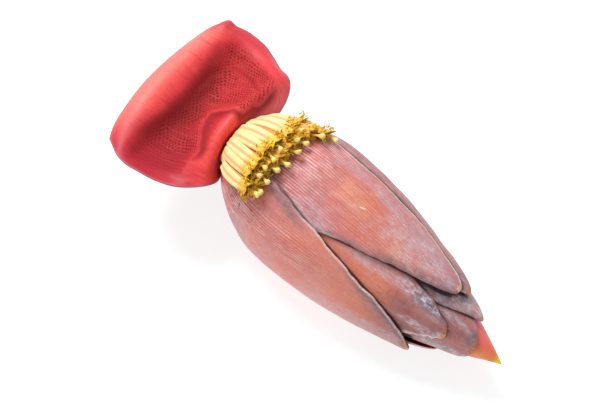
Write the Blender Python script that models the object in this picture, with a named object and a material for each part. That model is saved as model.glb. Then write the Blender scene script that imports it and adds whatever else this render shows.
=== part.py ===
"""Banana blossom: a closed bud of overlapping bracts, one bract bent back, and a hand of flowers.

The bud is laid out in its own frame first: x runs along the rachis to the tip of the bud, z points
out of the side that carries the flowers, y is sideways. A point of the bud is named by a share w of
the meridian of its heart (0 at the stem, 1 at the tip), an angle round the axis measured from +z
toward +y, and a height above the heart. At the end everything is tipped nose down on its belly and
flattened a little where it rests. Lengths in the tables are millimetres, angles degrees.
"""
import bpy
import bmesh
import math
import random
import numpy as np

MM = 0.001

# The heart: the innermost bracts, still rolled tight
HEART_LENGTH = 244.0
HEART_RADIUS = 43.5
BELLY_X = 60.0
TAPER = 2.06
NECK_RADIUS = 12.2
SHOULDER = 1.9

# The bracts that wrap it, from the inside out: base angle, tip angle, half angle, station of the tip,
# thickness, lift of the tip, sharpness and fullness of the outline, narrowing along the blade
BRACTS = {
    "bract_core_left": (-54, -54, 104, 224.5, 1.5, 0.3, 14.0, 0.48, 0.05),
    "bract_core_right": (44, 34, 108, 215, 1.4, 0.3, 3.2, 0.62, 0.10),
    "bract_core_back": (160, 168, 104, 212, 1.4, 0.4, 3.2, 0.62, 0.10),
    "bract_low": (-150, -152, 76, 198, 1.5, 0.0, 3.2, 0.62, 0.10),
    "bract_middle": (-46, -52, 50, 203.5, 1.6, 0.6, 6.0, 0.50, 0.10),
    "bract_far": (92, 31, 66, 196.5, 1.6, 1.2, 3.4, 0.60, 0.05),
    "bract_upper": (-8, 12, 45.5, 191, 1.8, 0.4, 5.0, 0.43, 0.30),
    "bract_near": (-122, -113, 109, 184, 2.1, 0.5, 10.0, 0.45, 0.55),
}
LAYER_GAP = 0.7
APRON = 2.5
RAMP = 28.0
TIP_SHARE = 0.995
BLADE_STEP = 12.0
SHOULDER_ROWS = 8
BODY_ROWS = 13
SHOULDER_SHARE = 0.2

# The rachis, cut off short behind the bud
STEM_RADIUS = 11.0
STEM_SWELL = 13.6
STEM_BACK = 31.0
STEM_GAP = 0.5

# The bract that has bent back: centre line (x, z), half width, sag of the sides, lag of the sides
FOLD = [
    (-10.0, 24.0, 30.0, 20.0, 4.0),
    (-12.0, 27.0, 41.0, 18.0, 10.0),
    (-9.3, 33.8, 49.0, 20.5, 10.5),
    (-13.0, 36.5, 59.0, 24.0, 10.0),
    (-28.0, 22.5, 67.5, 11.0, 5.0),
    (-50.0, 11.0, 71.0, -2.0, 2.0),
    (-68.0, 16.0, 71.5, -1.0, 4.5),
    (-80.0, 20.5, 69.5, 5.0, 6.0),
    (-90.0, 14.5, 65.0, 5.0, 8.0),
    (-93.0, 1.5, 57.0, 3.0, 9.0),
    (-87.0, -10.5, 44.0, 1.0, 10.0),
    (-76.5, -15.5, 27.0, -1.0, 8.0),
    (-64.0, -14.0, 9.0, -1.5, 3.0),
]
FOLD_THICKNESS = 1.7
FOLD_YAW = 8.0
FOLD_SKEW = 0.35
FOLD_OFFSET_Y = 7.0
FOLD_DRIFT_Y = 2.0
# its foot: a ring round the neck of the bud and the share over which the sheet leaves it
FOOT_X = 0.5
FOOT_FROM = -130.0
FOOT_TO = 100.0
FOOT_RISE = 2.4
FOOT_SHARE = 0.18
FOOT_SAG = 14.0
FOOT_FAR = 0.3
FOOT_PUSH = 4.0
FOOT_EASE = 1.3

# The hand of flowers: two rows on a cushion
HAND_FROM = -50.0
HAND_TO = 25.0
UPPER_COUNT = 8
LOWER_COUNT = 8
HAND_SETTLE = 4.5
HAND_DROOP = 9.0
HAND_TRAIL = 11.0
FLOWER_ROOT_X = 10.0
FLOWER_REACH = 42.5
FLOWER_REACH_DROP = 5.0
FLOWER_WIDTH = 10.0
FLOWER_DEPTH = 6.4
STYLE_LENGTH = 8.0
STYLE_RADIUS = 1.1
STIGMA_RADIUS = 2.7
SEED = 7

# How it lies
NOSE_DOWN = 5.2
SINK = 1.3


def smooth(a, b, t):
    """Ramp from 0 at a to 1 at b with level ends."""
    t = np.clip((np.asarray(t, float) - a) / (b - a), 0.0, 1.0)
    return t * t * (3.0 - 2.0 * t)


def spline(rows, t):
    """Catmull-Rom curve through the rows, t from 0 to 1."""
    p = np.array(rows, float)
    p = np.vstack([2 * p[0] - p[1], p, 2 * p[-1] - p[-2]])
    s = np.clip(np.asarray(t, float), 0, 1) * (len(p) - 3)
    i = np.minimum(s.astype(int), len(p) - 4)
    f = (s - i)[..., None]
    a, b, c, d = p[i], p[i + 1], p[i + 2], p[i + 3]
    return 0.5 * (2 * b + (c - a) * f + (2 * a - 5 * b + 4 * c - d) * f ** 2 + (3 * b - a - 3 * c + d) * f ** 3)


def meridian(count=800):
    """The outline of the heart from the neck to the tip by equal shares of its length: x, r, nx, nr."""
    back = np.linspace(math.asin(NECK_RADIUS / HEART_RADIUS), math.pi / 2, count)
    x_back = BELLY_X * (1 - (np.cos(back) / math.cos(back[0])) ** (2 / SHOULDER))
    front = np.linspace(0, 1, count)[1:]
    x = np.concatenate([x_back, BELLY_X + (HEART_LENGTH - BELLY_X) * front])
    r = np.concatenate([HEART_RADIUS * np.sin(back), HEART_RADIUS * (1 - front ** TAPER)])
    run = np.concatenate([[0.0], np.cumsum(np.hypot(np.diff(x), np.diff(r)))])
    w = np.linspace(0, 1, count)
    x = np.interp(w, run / run[-1], x)
    r = np.interp(w, run / run[-1], r)
    tx = np.gradient(x)
    tr = np.gradient(r)
    size = np.hypot(tx, tr)
    return w, x, r, -tr / size, tx / size


W_LINE, X_LINE, R_LINE, NX_LINE, NR_LINE = meridian()


def share_at(x):
    """Share of the meridian at station x."""
    return np.interp(x, X_LINE, W_LINE)


def station(w):
    return np.interp(w, W_LINE, X_LINE)


def radius(w):
    return np.interp(w, W_LINE, R_LINE)


def place(w, angle, height):
    """Points of the bud from shares, angles in degrees and heights in mm."""
    a = np.radians(angle)
    x = station(w) + height * np.interp(w, W_LINE, NX_LINE)
    r = radius(w) + height * np.interp(w, W_LINE, NR_LINE)
    return np.stack([x + 0 * a, r * np.sin(a), r * np.cos(a)], -1)


def centre_line(bract, x):
    base, tip, reach = bract[0], bract[1], bract[3]
    return base + (tip - base) * smooth(0.15, 1.0, x / reach)


def half_angle(bract, x):
    half, reach, sharp, full, narrow = bract[2], bract[3], bract[6], bract[7], bract[8]
    u = np.clip(x / reach, 0, 1)
    return half * (1 - narrow * u) * (1 - u ** sharp) ** full


def layer(w):
    """How thick a layer is here as a share: the bracts thin out toward the neck."""
    return 0.5 + 0.5 * smooth(0.0, 0.32, w)


def cover(bract, w, angle):
    """1 over the blade, falling to 0 over a short way outside its margin."""
    x = station(w)
    off = np.abs((angle - centre_line(bract, x) + 180) % 360 - 180)
    side = np.radians(np.maximum(off - half_angle(bract, x), 0)) * np.maximum(radius(w), 4.0)
    ahead = np.maximum(x - bract[3], 0)
    return 1 - smooth(APRON, RAMP, np.hypot(side, ahead))


def height_under(name, w, angle):
    """Height of the inner face of a bract, or of the whole bud for no name."""
    total = LAYER_GAP * layer(w)
    for other, bract in BRACTS.items():
        if other == name:
            break
        total = total + (bract[4] + LAYER_GAP) * layer(w) * cover(bract, w, angle)
    return total


def shared_rows():
    """Shares of the meridian at which every wrapping layer has its rows, closer on the shoulder."""
    near = np.linspace(0, SHOULDER_SHARE, SHOULDER_ROWS + 1)
    return np.concatenate([near, np.linspace(SHOULDER_SHARE, 1.0, BODY_ROWS + 1)[1:]])


def blade(name):
    """Outer and inner faces of one bract of the bud as grids of points."""
    bract = BRACTS[name]
    reach, thick, lift = bract[3], bract[4], bract[5]
    columns = max(8, int(round(2 * bract[2] / BLADE_STEP)))
    last = float(share_at(reach * TIP_SHARE))
    tip_rows = [last - 0.055, last - 0.024, last - 0.008, last]
    rows = [w for w in shared_rows() if w < tip_rows[0] - 0.012]
    w = np.array(rows + tip_rows)[:, None]
    v = np.linspace(-1, 1, columns + 1)
    w = w + 0 * v[None, :]
    x = station(w)
    angle = centre_line(bract, x) + v[None, :] * half_angle(bract, x)
    low = height_under(name, w, angle) + lift * smooth(0.88, 1.0, w / last)
    high = low + thick * layer(w) * (1 - 0.5 * np.abs(v[None, :]) ** 4)
    return place(w, angle, high), place(w, angle, low)


def sheet_to_solid(outer, inner):
    """Close two alike grids into one solid, split into triangles alike on both faces."""
    n, m = outer.shape[:2]
    points = np.concatenate([outer.reshape(-1, 3), inner.reshape(-1, 3)])
    faces = []
    size = n * m
    for i in range(n - 1):
        for j in range(m - 1):
            a, b, c, d = i * m + j, i * m + j + 1, (i + 1) * m + j + 1, (i + 1) * m + j
            faces += [(a, b, c), (a, c, d)]
            faces += [(a + size, c + size, b + size), (a + size, d + size, c + size)]
    rim = [j for j in range(m)] + [i * m + m - 1 for i in range(1, n)]
    rim += [(n - 1) * m + j for j in range(m - 2, -1, -1)] + [i * m for i in range(n - 2, 0, -1)]
    for k, a in enumerate(rim):
        b = rim[(k + 1) % len(rim)]
        faces += [(b, a, a + size), (b, a + size, b + size)]
    return points, faces


def turned(rows, sides):
    """A solid of revolution about x from (x, r) rows; a row of radius 0 becomes one point."""
    points = []
    rings = []
    for x, r in rows:
        if r <= 0:
            rings.append([len(points)] * sides)
            points.append((x, 0.0, 0.0))
        else:
            rings.append([len(points) + k for k in range(sides)])
            for k in range(sides):
                a = 2 * math.pi * k / sides
                points.append((x, r * math.sin(a), r * math.cos(a)))
    faces = []
    for one, two in zip(rings, rings[1:]):
        for k in range(sides):
            j = (k + 1) % sides
            for face in ((one[k], two[k], two[j]), (one[k], two[j], one[j])):
                if len(set(face)) == 3:
                    faces.append(face)
    return np.array(points), faces


def tube(path, across, up, sides):
    """A closed tube along a path with elliptic rings; across and up are half sizes along two frames."""
    points = []
    faces = []
    for (p, y_dir, z_dir), a, b in zip(path, across, up):
        for k in range(sides):
            t = 2 * math.pi * (k + 0.5) / sides
            points.append(np.array(p) + a * math.cos(t) * y_dir + b * math.sin(t) * z_dir)
    count = len(path)
    for i in range(count - 1):
        for k in range(sides):
            j = (k + 1) % sides
            p, q = i * sides + k, i * sides + j
            faces += [(p, q, q + sides), (p, q + sides, p + sides)]
    start, end = len(points), len(points) + 1
    points.append(np.array(path[0][0]))
    points.append(np.array(path[-1][0]))
    for k in range(sides):
        j = (k + 1) % sides
        faces.append((start, j, k))
        faces.append((end, (count - 1) * sides + k, (count - 1) * sides + j))
    return np.array(points), faces


def folded_blade(rows=26, columns=16):
    """Outer and inner faces of the bract that has bent back over the stem."""
    u = np.linspace(0, 1, rows + 1)
    v = np.linspace(-1, 1, columns + 1)
    line = spline(FOLD, u)
    x = line[:, 0][:, None] + line[:, 4][:, None] * np.abs(v[None, :]) ** 3 * (1 - FOLD_SKEW * v[None, :])
    shift = FOLD_OFFSET_Y * smooth(0.08, 0.3, u) - FOLD_DRIFT_Y * smooth(0.3, 0.65, u)
    y = line[:, 2][:, None] * v[None, :] + shift[:, None]
    z = line[:, 1][:, None] - line[:, 3][:, None] * v[None, :] ** 2
    turn = math.radians(FOLD_YAW) * smooth(0.0, 0.25, u)[:, None]
    face = np.stack([x * np.cos(turn) - y * np.sin(turn), y * np.cos(turn) + x * np.sin(turn), z], -1)
    angle = FOOT_FROM + (FOOT_TO - FOOT_FROM) * (v[None, :] + 1) / 2 + 0 * z
    w = share_at(FOOT_X) + 0 * angle
    ring = place(w, angle, height_under("", w, angle) + FOOT_RISE)
    k = np.clip(1 - u[:, None] / (FOOT_SHARE * (1 - FOOT_FAR * np.maximum(v[None, :], 0))), 0, 1) ** FOOT_EASE
    face = face * (1 - k[..., None]) + ring * k[..., None]
    swell = 4 * k * (1 - k) * v[None, :] ** 4
    face[..., 0] += FOOT_PUSH * swell
    face[..., 2] -= FOOT_SAG * swell
    along = np.gradient(face, axis=0)
    side = np.gradient(face, axis=1)
    normal = np.cross(along, side)
    normal /= np.linalg.norm(normal, axis=-1, keepdims=True)
    return face, face - FOLD_THICKNESS * normal


def flower_frame(w, angle, height):
    """A point on the hand with the sideways and outward directions there."""
    a = math.radians(angle)
    point = place(np.array(w), np.array(float(angle)), np.array(height))
    y_dir = np.array([0.0, math.cos(a), -math.sin(a)])
    nx = float(np.interp(w, W_LINE, NX_LINE))
    nr = float(np.interp(w, W_LINE, NR_LINE))
    z_dir = np.array([nx, nr * math.sin(a), nr * math.cos(a)])
    return point, y_dir, z_dir


def flower(angle, root_x, tip_x, base_height, tip_height, lean, rng):
    """One flower: the folded tepals, two curled lobes, the style and its stigma."""
    parts = []
    first = float(share_at(root_x))
    last = float(share_at(tip_x))
    stops = [0.0, 0.3, 0.7, 1.0]
    path = []
    for s in stops:
        w = first + (last - first) * s
        a = angle + lean * s
        top = float(height_under("", np.array(w), np.array(a)))
        path.append(flower_frame(w, a, top + base_height + (tip_height - base_height) * s))
    half_w = FLOWER_WIDTH / 2
    half_d = FLOWER_DEPTH / 2
    across = [half_w * k for k in (0.62, 0.95, 1.0, 0.62)]
    up = [half_d * k for k in (0.8, 1.0, 1.0, 0.6)]
    parts.append(tube(path, across, up, 6))
    point, y_dir, z_dir = path[-1]
    ahead = point - path[-2][0]
    ahead = ahead / np.linalg.norm(ahead)
    for turn in (-1, 1):
        curl = rng.uniform(0.2, 0.9)
        lobe = []
        for s in (0.0, 0.5, 1.0):
            p = point + ahead * (-3.0 + 8.0 * s) + y_dir * turn * (1.6 + 1.6 * s)
            p = p + z_dir * (0.4 + curl * 2.6 * s * s)
            lobe.append((p, y_dir, z_dir))
        parts.append(tube(lobe, [2.0, 1.9, 0.7], [1.1, 0.9, 0.5], 4))
    swing = y_dir * rng.uniform(-0.25, 0.25) + z_dir * rng.uniform(-0.05, 0.2)
    way = ahead + swing
    way = way / np.linalg.norm(way)
    cross = np.cross(way, z_dir)
    cross = cross / np.linalg.norm(cross)
    rise = np.cross(cross, way)
    length = STYLE_LENGTH * rng.uniform(0.8, 1.15)
    shape = [(-4.0, STYLE_RADIUS), (length - 3.2, STYLE_RADIUS), (length - 1.4, STIGMA_RADIUS * 0.86)]
    shape += [(length + 0.6, STIGMA_RADIUS), (length + 2.4, STIGMA_RADIUS * 0.55)]
    style = [(point + way * s, cross, rise) for s, r in shape]
    parts.append(tube(style, [r for s, r in shape], [r for s, r in shape], 6))
    return parts


def cushion():
    """The pad on the shoulder of the bud from which the flowers grow."""
    w = np.linspace(float(share_at(3.5)), float(share_at(FLOWER_ROOT_X + 9.0)), 6)[:, None]
    angle = np.linspace(HAND_FROM - 3, HAND_TO + 3, 19)[None, :]
    w = w + 0 * angle
    angle = angle + 0 * w
    low = height_under("", w, angle) + 0.3
    swell = np.sin(np.linspace(0.35, math.pi - 0.35, 6))[:, None]
    return sheet_to_solid(place(w, angle, low + 1.2 + 5.2 * swell), place(w, angle, low))


def hand_parts():
    rng = random.Random(SEED)
    parts = [cushion()]
    middle = (HAND_FROM + HAND_TO) / 2
    spread = (HAND_TO - HAND_FROM) / 2
    for row, count in ((0, LOWER_COUNT), (1, UPPER_COUNT)):
        for k in range(count):
            share = (k + (0.15 if row else 0.5)) / (count - 0.5)
            angle = HAND_FROM + 2 * spread * share + rng.uniform(-1.0, 1.0)
            off = (angle - middle) / spread
            reach = FLOWER_REACH - FLOWER_REACH_DROP * off * off + rng.uniform(-1.5, 1.5)
            lean = 2.5 * off * off - 2.0 * off + 0.5
            droop = HAND_DROOP * max(0.0, -off) ** 4
            root = FLOWER_ROOT_X + droop
            if row == 0:
                tip = reach + droop + 3.0 + HAND_TRAIL * max(0.0, off) ** 4
                parts += flower(angle, root, tip, 3.2, 4.0, lean, rng)
            else:
                settle = HAND_SETTLE * float(smooth(0.1, 1.0, off))
                parts += flower(angle, root, reach + droop - 2.5, 6.0 - settle, 8.2 - settle, lean, rng)
    return parts


def tip_over(points):
    """From the frame of the bud to the frame in which it lies: nose down by NOSE_DOWN."""
    a = math.radians(NOSE_DOWN)
    x = points[..., 0] * math.cos(a) + points[..., 2] * math.sin(a)
    z = -points[..., 0] * math.sin(a) + points[..., 2] * math.cos(a)
    return np.stack([x, points[..., 1], z], -1)


def paint(name, colour, roughness):
    material = bpy.data.materials.new(name)
    material.use_nodes = True
    shader = material.node_tree.nodes["Principled BSDF"]
    shader.inputs["Base Color"].default_value = (*colour, 1.0)
    shader.inputs["Roughness"].default_value = roughness
    material.diffuse_color = (*colour, 1.0)
    return material


def add_object(name, points, faces, material, offset):
    """One closed mesh laid on the surface and flattened where it touches it."""
    laid = tip_over(np.asarray(points, float)) + offset
    laid[:, 2] = np.maximum(laid[:, 2], 0.0)
    mesh = bpy.data.meshes.new(name)
    mesh.from_pydata([tuple(p) for p in laid * MM], [], [tuple(int(k) for k in f) for f in faces])
    mesh.materials.append(material)
    obj = bpy.data.objects.new(name, mesh)
    bpy.context.scene.collection.objects.link(obj)
    tidy = bmesh.new()
    tidy.from_mesh(mesh)
    bmesh.ops.recalc_face_normals(tidy, faces=tidy.faces)
    if tidy.calc_volume(signed=True) < 0:
        bmesh.ops.reverse_faces(tidy, faces=tidy.faces)
    tidy.to_mesh(mesh)
    tidy.free()
    for polygon in mesh.polygons:
        polygon.use_smooth = True
    return obj


def fill_pockets(shape):
    """Keep the outer skin only, so that no closed pocket is left between the fused flowers."""
    left = set(shape.faces)
    skins = []
    while left:
        stack = [left.pop()]
        skin = list(stack)
        while stack:
            for edge in stack.pop().edges:
                for face in edge.link_faces:
                    if face in left:
                        left.remove(face)
                        stack.append(face)
                        skin.append(face)
        skins.append(skin)
    skins.sort(key=len)
    for skin in skins[:-1]:
        bmesh.ops.delete(shape, geom=skin, context="FACES")


def fuse(name, parts, material, offset):
    """Join many closed shapes into one body."""
    group = bpy.data.collections.new(name + "_parts")
    bpy.context.scene.collection.children.link(group)
    body = add_object(name, *parts[0], material, offset)
    for k, (points, faces) in enumerate(parts[1:]):
        piece = add_object("%s_%d" % (name, k), points, faces, material, offset)
        bpy.context.scene.collection.objects.unlink(piece)
        group.objects.link(piece)
    union = body.modifiers.new("union", "BOOLEAN")
    union.operation = "UNION"
    union.operand_type = "COLLECTION"
    union.collection = group
    union.solver = "MANIFOLD"
    bpy.context.view_layer.update()
    done = body.evaluated_get(bpy.context.evaluated_depsgraph_get())
    mesh = bpy.data.meshes.new_from_object(done)
    body.modifiers.clear()
    body.data = mesh
    for piece in list(group.objects):
        bpy.data.objects.remove(piece)
    bpy.data.collections.remove(group)
    clean = bmesh.new()
    clean.from_mesh(mesh)
    bmesh.ops.remove_doubles(clean, verts=clean.verts, dist=0.000002)
    bmesh.ops.triangulate(clean, faces=clean.faces)
    fill_pockets(clean)
    clean.to_mesh(mesh)
    clean.free()
    return body


def heart_rows():
    shares = np.concatenate([shared_rows()[:-1], [0.965, 0.985]])
    rows = [(0.0, 0.0)]
    rows += [(float(station(w)), float(radius(w))) for w in shares]
    rows.append((HEART_LENGTH, 0.0))
    return rows


def stem_rows():
    back = -STEM_BACK
    return [(back, 0.0), (back, STEM_SWELL), (back + 11.0, STEM_SWELL - 0.4), (back + 15.0, STEM_RADIUS),
            (-STEM_GAP, STEM_RADIUS), (-STEM_GAP, 0.0)]


def build():
    for obj in list(bpy.data.objects):
        bpy.data.objects.remove(obj)
    shapes = {}
    shapes["heart"] = turned(heart_rows(), 28)
    shapes["rachis"] = turned(stem_rows(), 24)
    for name in BRACTS:
        shapes[name] = sheet_to_solid(*blade(name))
    shapes["bract_open"] = sheet_to_solid(*folded_blade())
    flowers = hand_parts()
    everything = np.vstack([tip_over(p) for p, f in list(shapes.values()) + flowers])
    low, high = everything.min(0), everything.max(0)
    offset = np.array([-(low[0] + high[0]) / 2, -(low[1] + high[1]) / 2, -low[2] - SINK])
    looks = {
        "heart": paint("coral", (0.75, 0.13, 0.08), 0.45),
        "rachis": paint("stem_green", (0.42, 0.45, 0.22), 0.6),
        "bract_open": paint("crimson", (0.52, 0.03, 0.04), 0.45),
    }
    mauve = paint("mauve", (0.45, 0.17, 0.16), 0.55)
    for name, (points, faces) in shapes.items():
        look = looks.get(name)
        if look is None:
            look = mauve.copy()
            look.name = "mauve_" + name
        add_object(name, points, faces, look, offset)
    fuse("flower_hand", flowers, paint("cream", (0.86, 0.66, 0.22), 0.5), offset)
    bpy.data.materials.remove(mauve)


build()
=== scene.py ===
"""Looks of the banana blossom: fine bracts, the bent bract, the flowers, the stem, light and camera."""

import math
import random

import bpy
import numpy as np
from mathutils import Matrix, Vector

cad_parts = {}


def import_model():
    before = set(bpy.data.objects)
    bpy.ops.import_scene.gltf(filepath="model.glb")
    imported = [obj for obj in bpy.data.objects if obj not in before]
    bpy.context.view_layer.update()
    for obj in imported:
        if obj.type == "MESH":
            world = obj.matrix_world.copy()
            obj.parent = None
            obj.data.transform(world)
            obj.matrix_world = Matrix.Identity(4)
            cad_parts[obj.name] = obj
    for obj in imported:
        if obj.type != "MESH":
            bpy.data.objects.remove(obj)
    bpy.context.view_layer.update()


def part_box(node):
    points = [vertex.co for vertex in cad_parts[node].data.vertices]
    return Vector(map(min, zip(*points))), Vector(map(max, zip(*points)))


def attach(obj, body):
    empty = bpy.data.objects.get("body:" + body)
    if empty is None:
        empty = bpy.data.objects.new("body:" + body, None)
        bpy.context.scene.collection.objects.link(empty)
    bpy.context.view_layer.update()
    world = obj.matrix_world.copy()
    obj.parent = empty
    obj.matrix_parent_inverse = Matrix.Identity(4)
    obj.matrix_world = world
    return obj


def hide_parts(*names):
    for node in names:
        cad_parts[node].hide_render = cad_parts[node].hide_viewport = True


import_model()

MM = 0.001

# ---------------------------------------------------------------- the layout of the bud, as in the CAD

HEART_LENGTH = 244.0
HEART_RADIUS = 43.5
BELLY_X = 60.0
TAPER = 2.06
NECK_RADIUS = 12.2
SHOULDER = 1.9

# base angle, tip angle, half angle, station of the tip, thickness, lift, sharpness, fullness, narrowing
BRACTS = {
    "bract_core_left": (-54, -54, 104, 224.5, 1.5, 0.3, 14.0, 0.48, 0.05),
    "bract_core_right": (44, 34, 108, 215, 1.4, 0.3, 3.2, 0.62, 0.10),
    "bract_core_back": (160, 168, 104, 212, 1.4, 0.4, 3.2, 0.62, 0.10),
    "bract_low": (-150, -152, 76, 198, 1.5, 0.0, 3.2, 0.62, 0.10),
    "bract_middle": (-46, -52, 50, 203.5, 1.6, 0.6, 6.0, 0.50, 0.10),
    "bract_far": (92, 31, 66, 196.5, 1.6, 1.2, 3.4, 0.60, 0.05),
    "bract_upper": (-8, 12, 45.5, 191, 1.8, 0.4, 5.0, 0.43, 0.30),
    "bract_near": (-122, -113, 109, 184, 2.1, 0.5, 10.0, 0.45, 0.55),
}
LAYER_GAP = 0.7
APRON = 2.5
RAMP = 28.0

STEM_BACK = 31.0
STEM_GAP = 0.5

# the bent bract: centre line (x, z), half width, sag of the sides, lag of the sides
FOLD = [
    (-10.0, 24.0, 30.0, 20.0, 4.0),
    (-12.0, 27.0, 41.0, 18.0, 10.0),
    (-9.3, 33.8, 49.0, 20.5, 10.5),
    (-13.0, 36.5, 59.0, 24.0, 10.0),
    (-28.0, 22.5, 67.5, 11.0, 5.0),
    (-50.0, 11.0, 71.0, -2.0, 2.0),
    (-68.0, 16.0, 71.5, -1.0, 4.5),
    (-80.0, 20.5, 69.5, 5.0, 6.0),
    (-90.0, 14.5, 65.0, 5.0, 8.0),
    (-93.0, 1.5, 57.0, 3.0, 9.0),
    (-87.0, -10.5, 44.0, 1.0, 10.0),
    (-76.5, -15.5, 27.0, -1.0, 8.0),
    (-64.0, -14.0, 9.0, -1.5, 3.0),
]
FOLD_THICKNESS = 1.7
FOLD_YAW = 8.0
FOLD_SKEW = 0.35
FOLD_OFFSET_Y = 7.0
FOLD_DRIFT_Y = 2.0
FOOT_X = 0.5
FOOT_FROM = -130.0
FOOT_TO = 100.0
FOOT_RISE = 2.4
FOOT_SHARE = 0.18
FOOT_SAG = 14.0
FOOT_FAR = 0.3
FOOT_PUSH = 4.0
FOOT_EASE = 1.3

HAND_FROM = -50.0
HAND_TO = 25.0
UPPER_COUNT = 8
LOWER_COUNT = 8
HAND_SETTLE = 4.5
HAND_DROOP = 9.0
HAND_TRAIL = 11.0
FLOWER_ROOT_X = 10.0
FLOWER_REACH = 42.5
FLOWER_REACH_DROP = 5.0
FLOWER_WIDTH = 10.0
FLOWER_DEPTH = 6.4
STYLE_LENGTH = 8.0
SEED = 7

NOSE_DOWN = 5.2
HEART_SIDES = 28


def smooth(a, b, t):
    t = np.clip((np.asarray(t, float) - a) / (b - a), 0.0, 1.0)
    return t * t * (3.0 - 2.0 * t)


def spline(rows, t):
    """Catmull-Rom curve through the rows, t from 0 to 1."""
    p = np.array(rows, float)
    p = np.vstack([2 * p[0] - p[1], p, 2 * p[-1] - p[-2]])
    s = np.clip(np.asarray(t, float), 0, 1) * (len(p) - 3)
    i = np.minimum(s.astype(int), len(p) - 4)
    f = (s - i)[..., None]
    a, b, c, d = p[i], p[i + 1], p[i + 2], p[i + 3]
    curve = 2 * b + (c - a) * f + (2 * a - 5 * b + 4 * c - d) * f ** 2
    return 0.5 * (curve + (3 * b - a - 3 * c + d) * f ** 3)


def meridian(count=800):
    """Outline of the heart by equal shares of its length: share, x, r and the normal."""
    back = np.linspace(math.asin(NECK_RADIUS / HEART_RADIUS), math.pi / 2, count)
    x_back = BELLY_X * (1 - (np.cos(back) / math.cos(back[0])) ** (2 / SHOULDER))
    front = np.linspace(0, 1, count)[1:]
    x = np.concatenate([x_back, BELLY_X + (HEART_LENGTH - BELLY_X) * front])
    r = np.concatenate([HEART_RADIUS * np.sin(back), HEART_RADIUS * (1 - front ** TAPER)])
    run = np.concatenate([[0.0], np.cumsum(np.hypot(np.diff(x), np.diff(r)))])
    w = np.linspace(0, 1, count)
    x = np.interp(w, run / run[-1], x)
    r = np.interp(w, run / run[-1], r)
    tx = np.gradient(x)
    tr = np.gradient(r)
    size = np.hypot(tx, tr)
    return w, x, r, -tr / size, tx / size


W_LINE, X_LINE, R_LINE, NX_LINE, NR_LINE = meridian()


def share_at(x):
    return np.interp(x, X_LINE, W_LINE)


def station(w):
    return np.interp(w, W_LINE, X_LINE)


def radius(w):
    return np.interp(w, W_LINE, R_LINE)


def place(w, angle, height):
    """Points of the bud from shares, angles in degrees and heights in mm."""
    a = np.radians(angle)
    x = station(w) + height * np.interp(w, W_LINE, NX_LINE)
    r = radius(w) + height * np.interp(w, W_LINE, NR_LINE)
    return np.stack([x + 0 * a, r * np.sin(a), r * np.cos(a)], -1)


def centre_line(bract, x):
    base, tip, reach = bract[0], bract[1], bract[3]
    return base + (tip - base) * smooth(0.15, 1.0, x / reach)


def half_angle(bract, x):
    half, reach, sharp, full, narrow = bract[2], bract[3], bract[6], bract[7], bract[8]
    u = np.clip(x / reach, 0, 1)
    return half * (1 - narrow * u) * (1 - u ** sharp) ** full


def layer(w):
    return 0.5 + 0.5 * smooth(0.0, 0.32, w)


def outside(bract, w, angle):
    """How far a point is outside the margin of a blade, in mm, 0 over the blade."""
    x = station(w)
    off = np.abs((angle - centre_line(bract, x) + 180) % 360 - 180)
    side = np.radians(np.maximum(off - half_angle(bract, x), 0)) * np.maximum(radius(w), 4.0)
    ahead = np.maximum(x - bract[3], 0)
    return np.hypot(side, ahead)


def height_under(name, w, angle):
    """Height of the inner face of a bract, or of the whole bud for no name."""
    total = LAYER_GAP * layer(w)
    for other, bract in BRACTS.items():
        if other == name:
            break
        cover = 1 - smooth(APRON, RAMP, outside(bract, w, angle))
        total = total + (bract[4] + LAYER_GAP) * layer(w) * cover
    return total


def tip_over(points):
    a = math.radians(NOSE_DOWN)
    x = points[..., 0] * math.cos(a) + points[..., 2] * math.sin(a)
    z = -points[..., 0] * math.sin(a) + points[..., 2] * math.cos(a)
    return np.stack([x, points[..., 1], z], -1)


def find_offset():
    """Where the frame of the bud sits in the frame of the part, read from the corners of the heart."""
    t = 2 * np.pi * np.arange(HEART_SIDES) / HEART_SIDES
    near = np.linspace(0, 0.2, 9)
    shares = np.concatenate([near, np.linspace(0.2, 1.0, 14)[1:-1], [0.965, 0.985]])
    rings = [np.stack([station(w) + 0 * t, radius(w) * np.sin(t), radius(w) * np.cos(t)], -1) for w in shares]
    corners = tip_over(np.concatenate(rings + [np.array([[HEART_LENGTH, 0.0, 0.0]])]))
    low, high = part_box("heart")
    middle = (np.array(low) + np.array(high)) / 2 / MM
    return middle - (corners.min(0) + corners.max(0)) / 2


OFFSET = find_offset()

# ---------------------------------------------------------------- meshes


def wander(seed, a, b, size, terms=6):
    """Smooth random field over two lengths, about -1 to 1."""
    rng = random.Random(seed)
    total = 0
    for k in range(terms):
        turn = rng.uniform(0, math.pi)
        pitch = size * rng.uniform(0.6, 1.7)
        phase = rng.uniform(0, 2 * math.pi)
        total = total + np.sin((a * math.cos(turn) + b * math.sin(turn)) * 2 * math.pi / pitch + phase)
    return total / terms * 1.6


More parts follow.
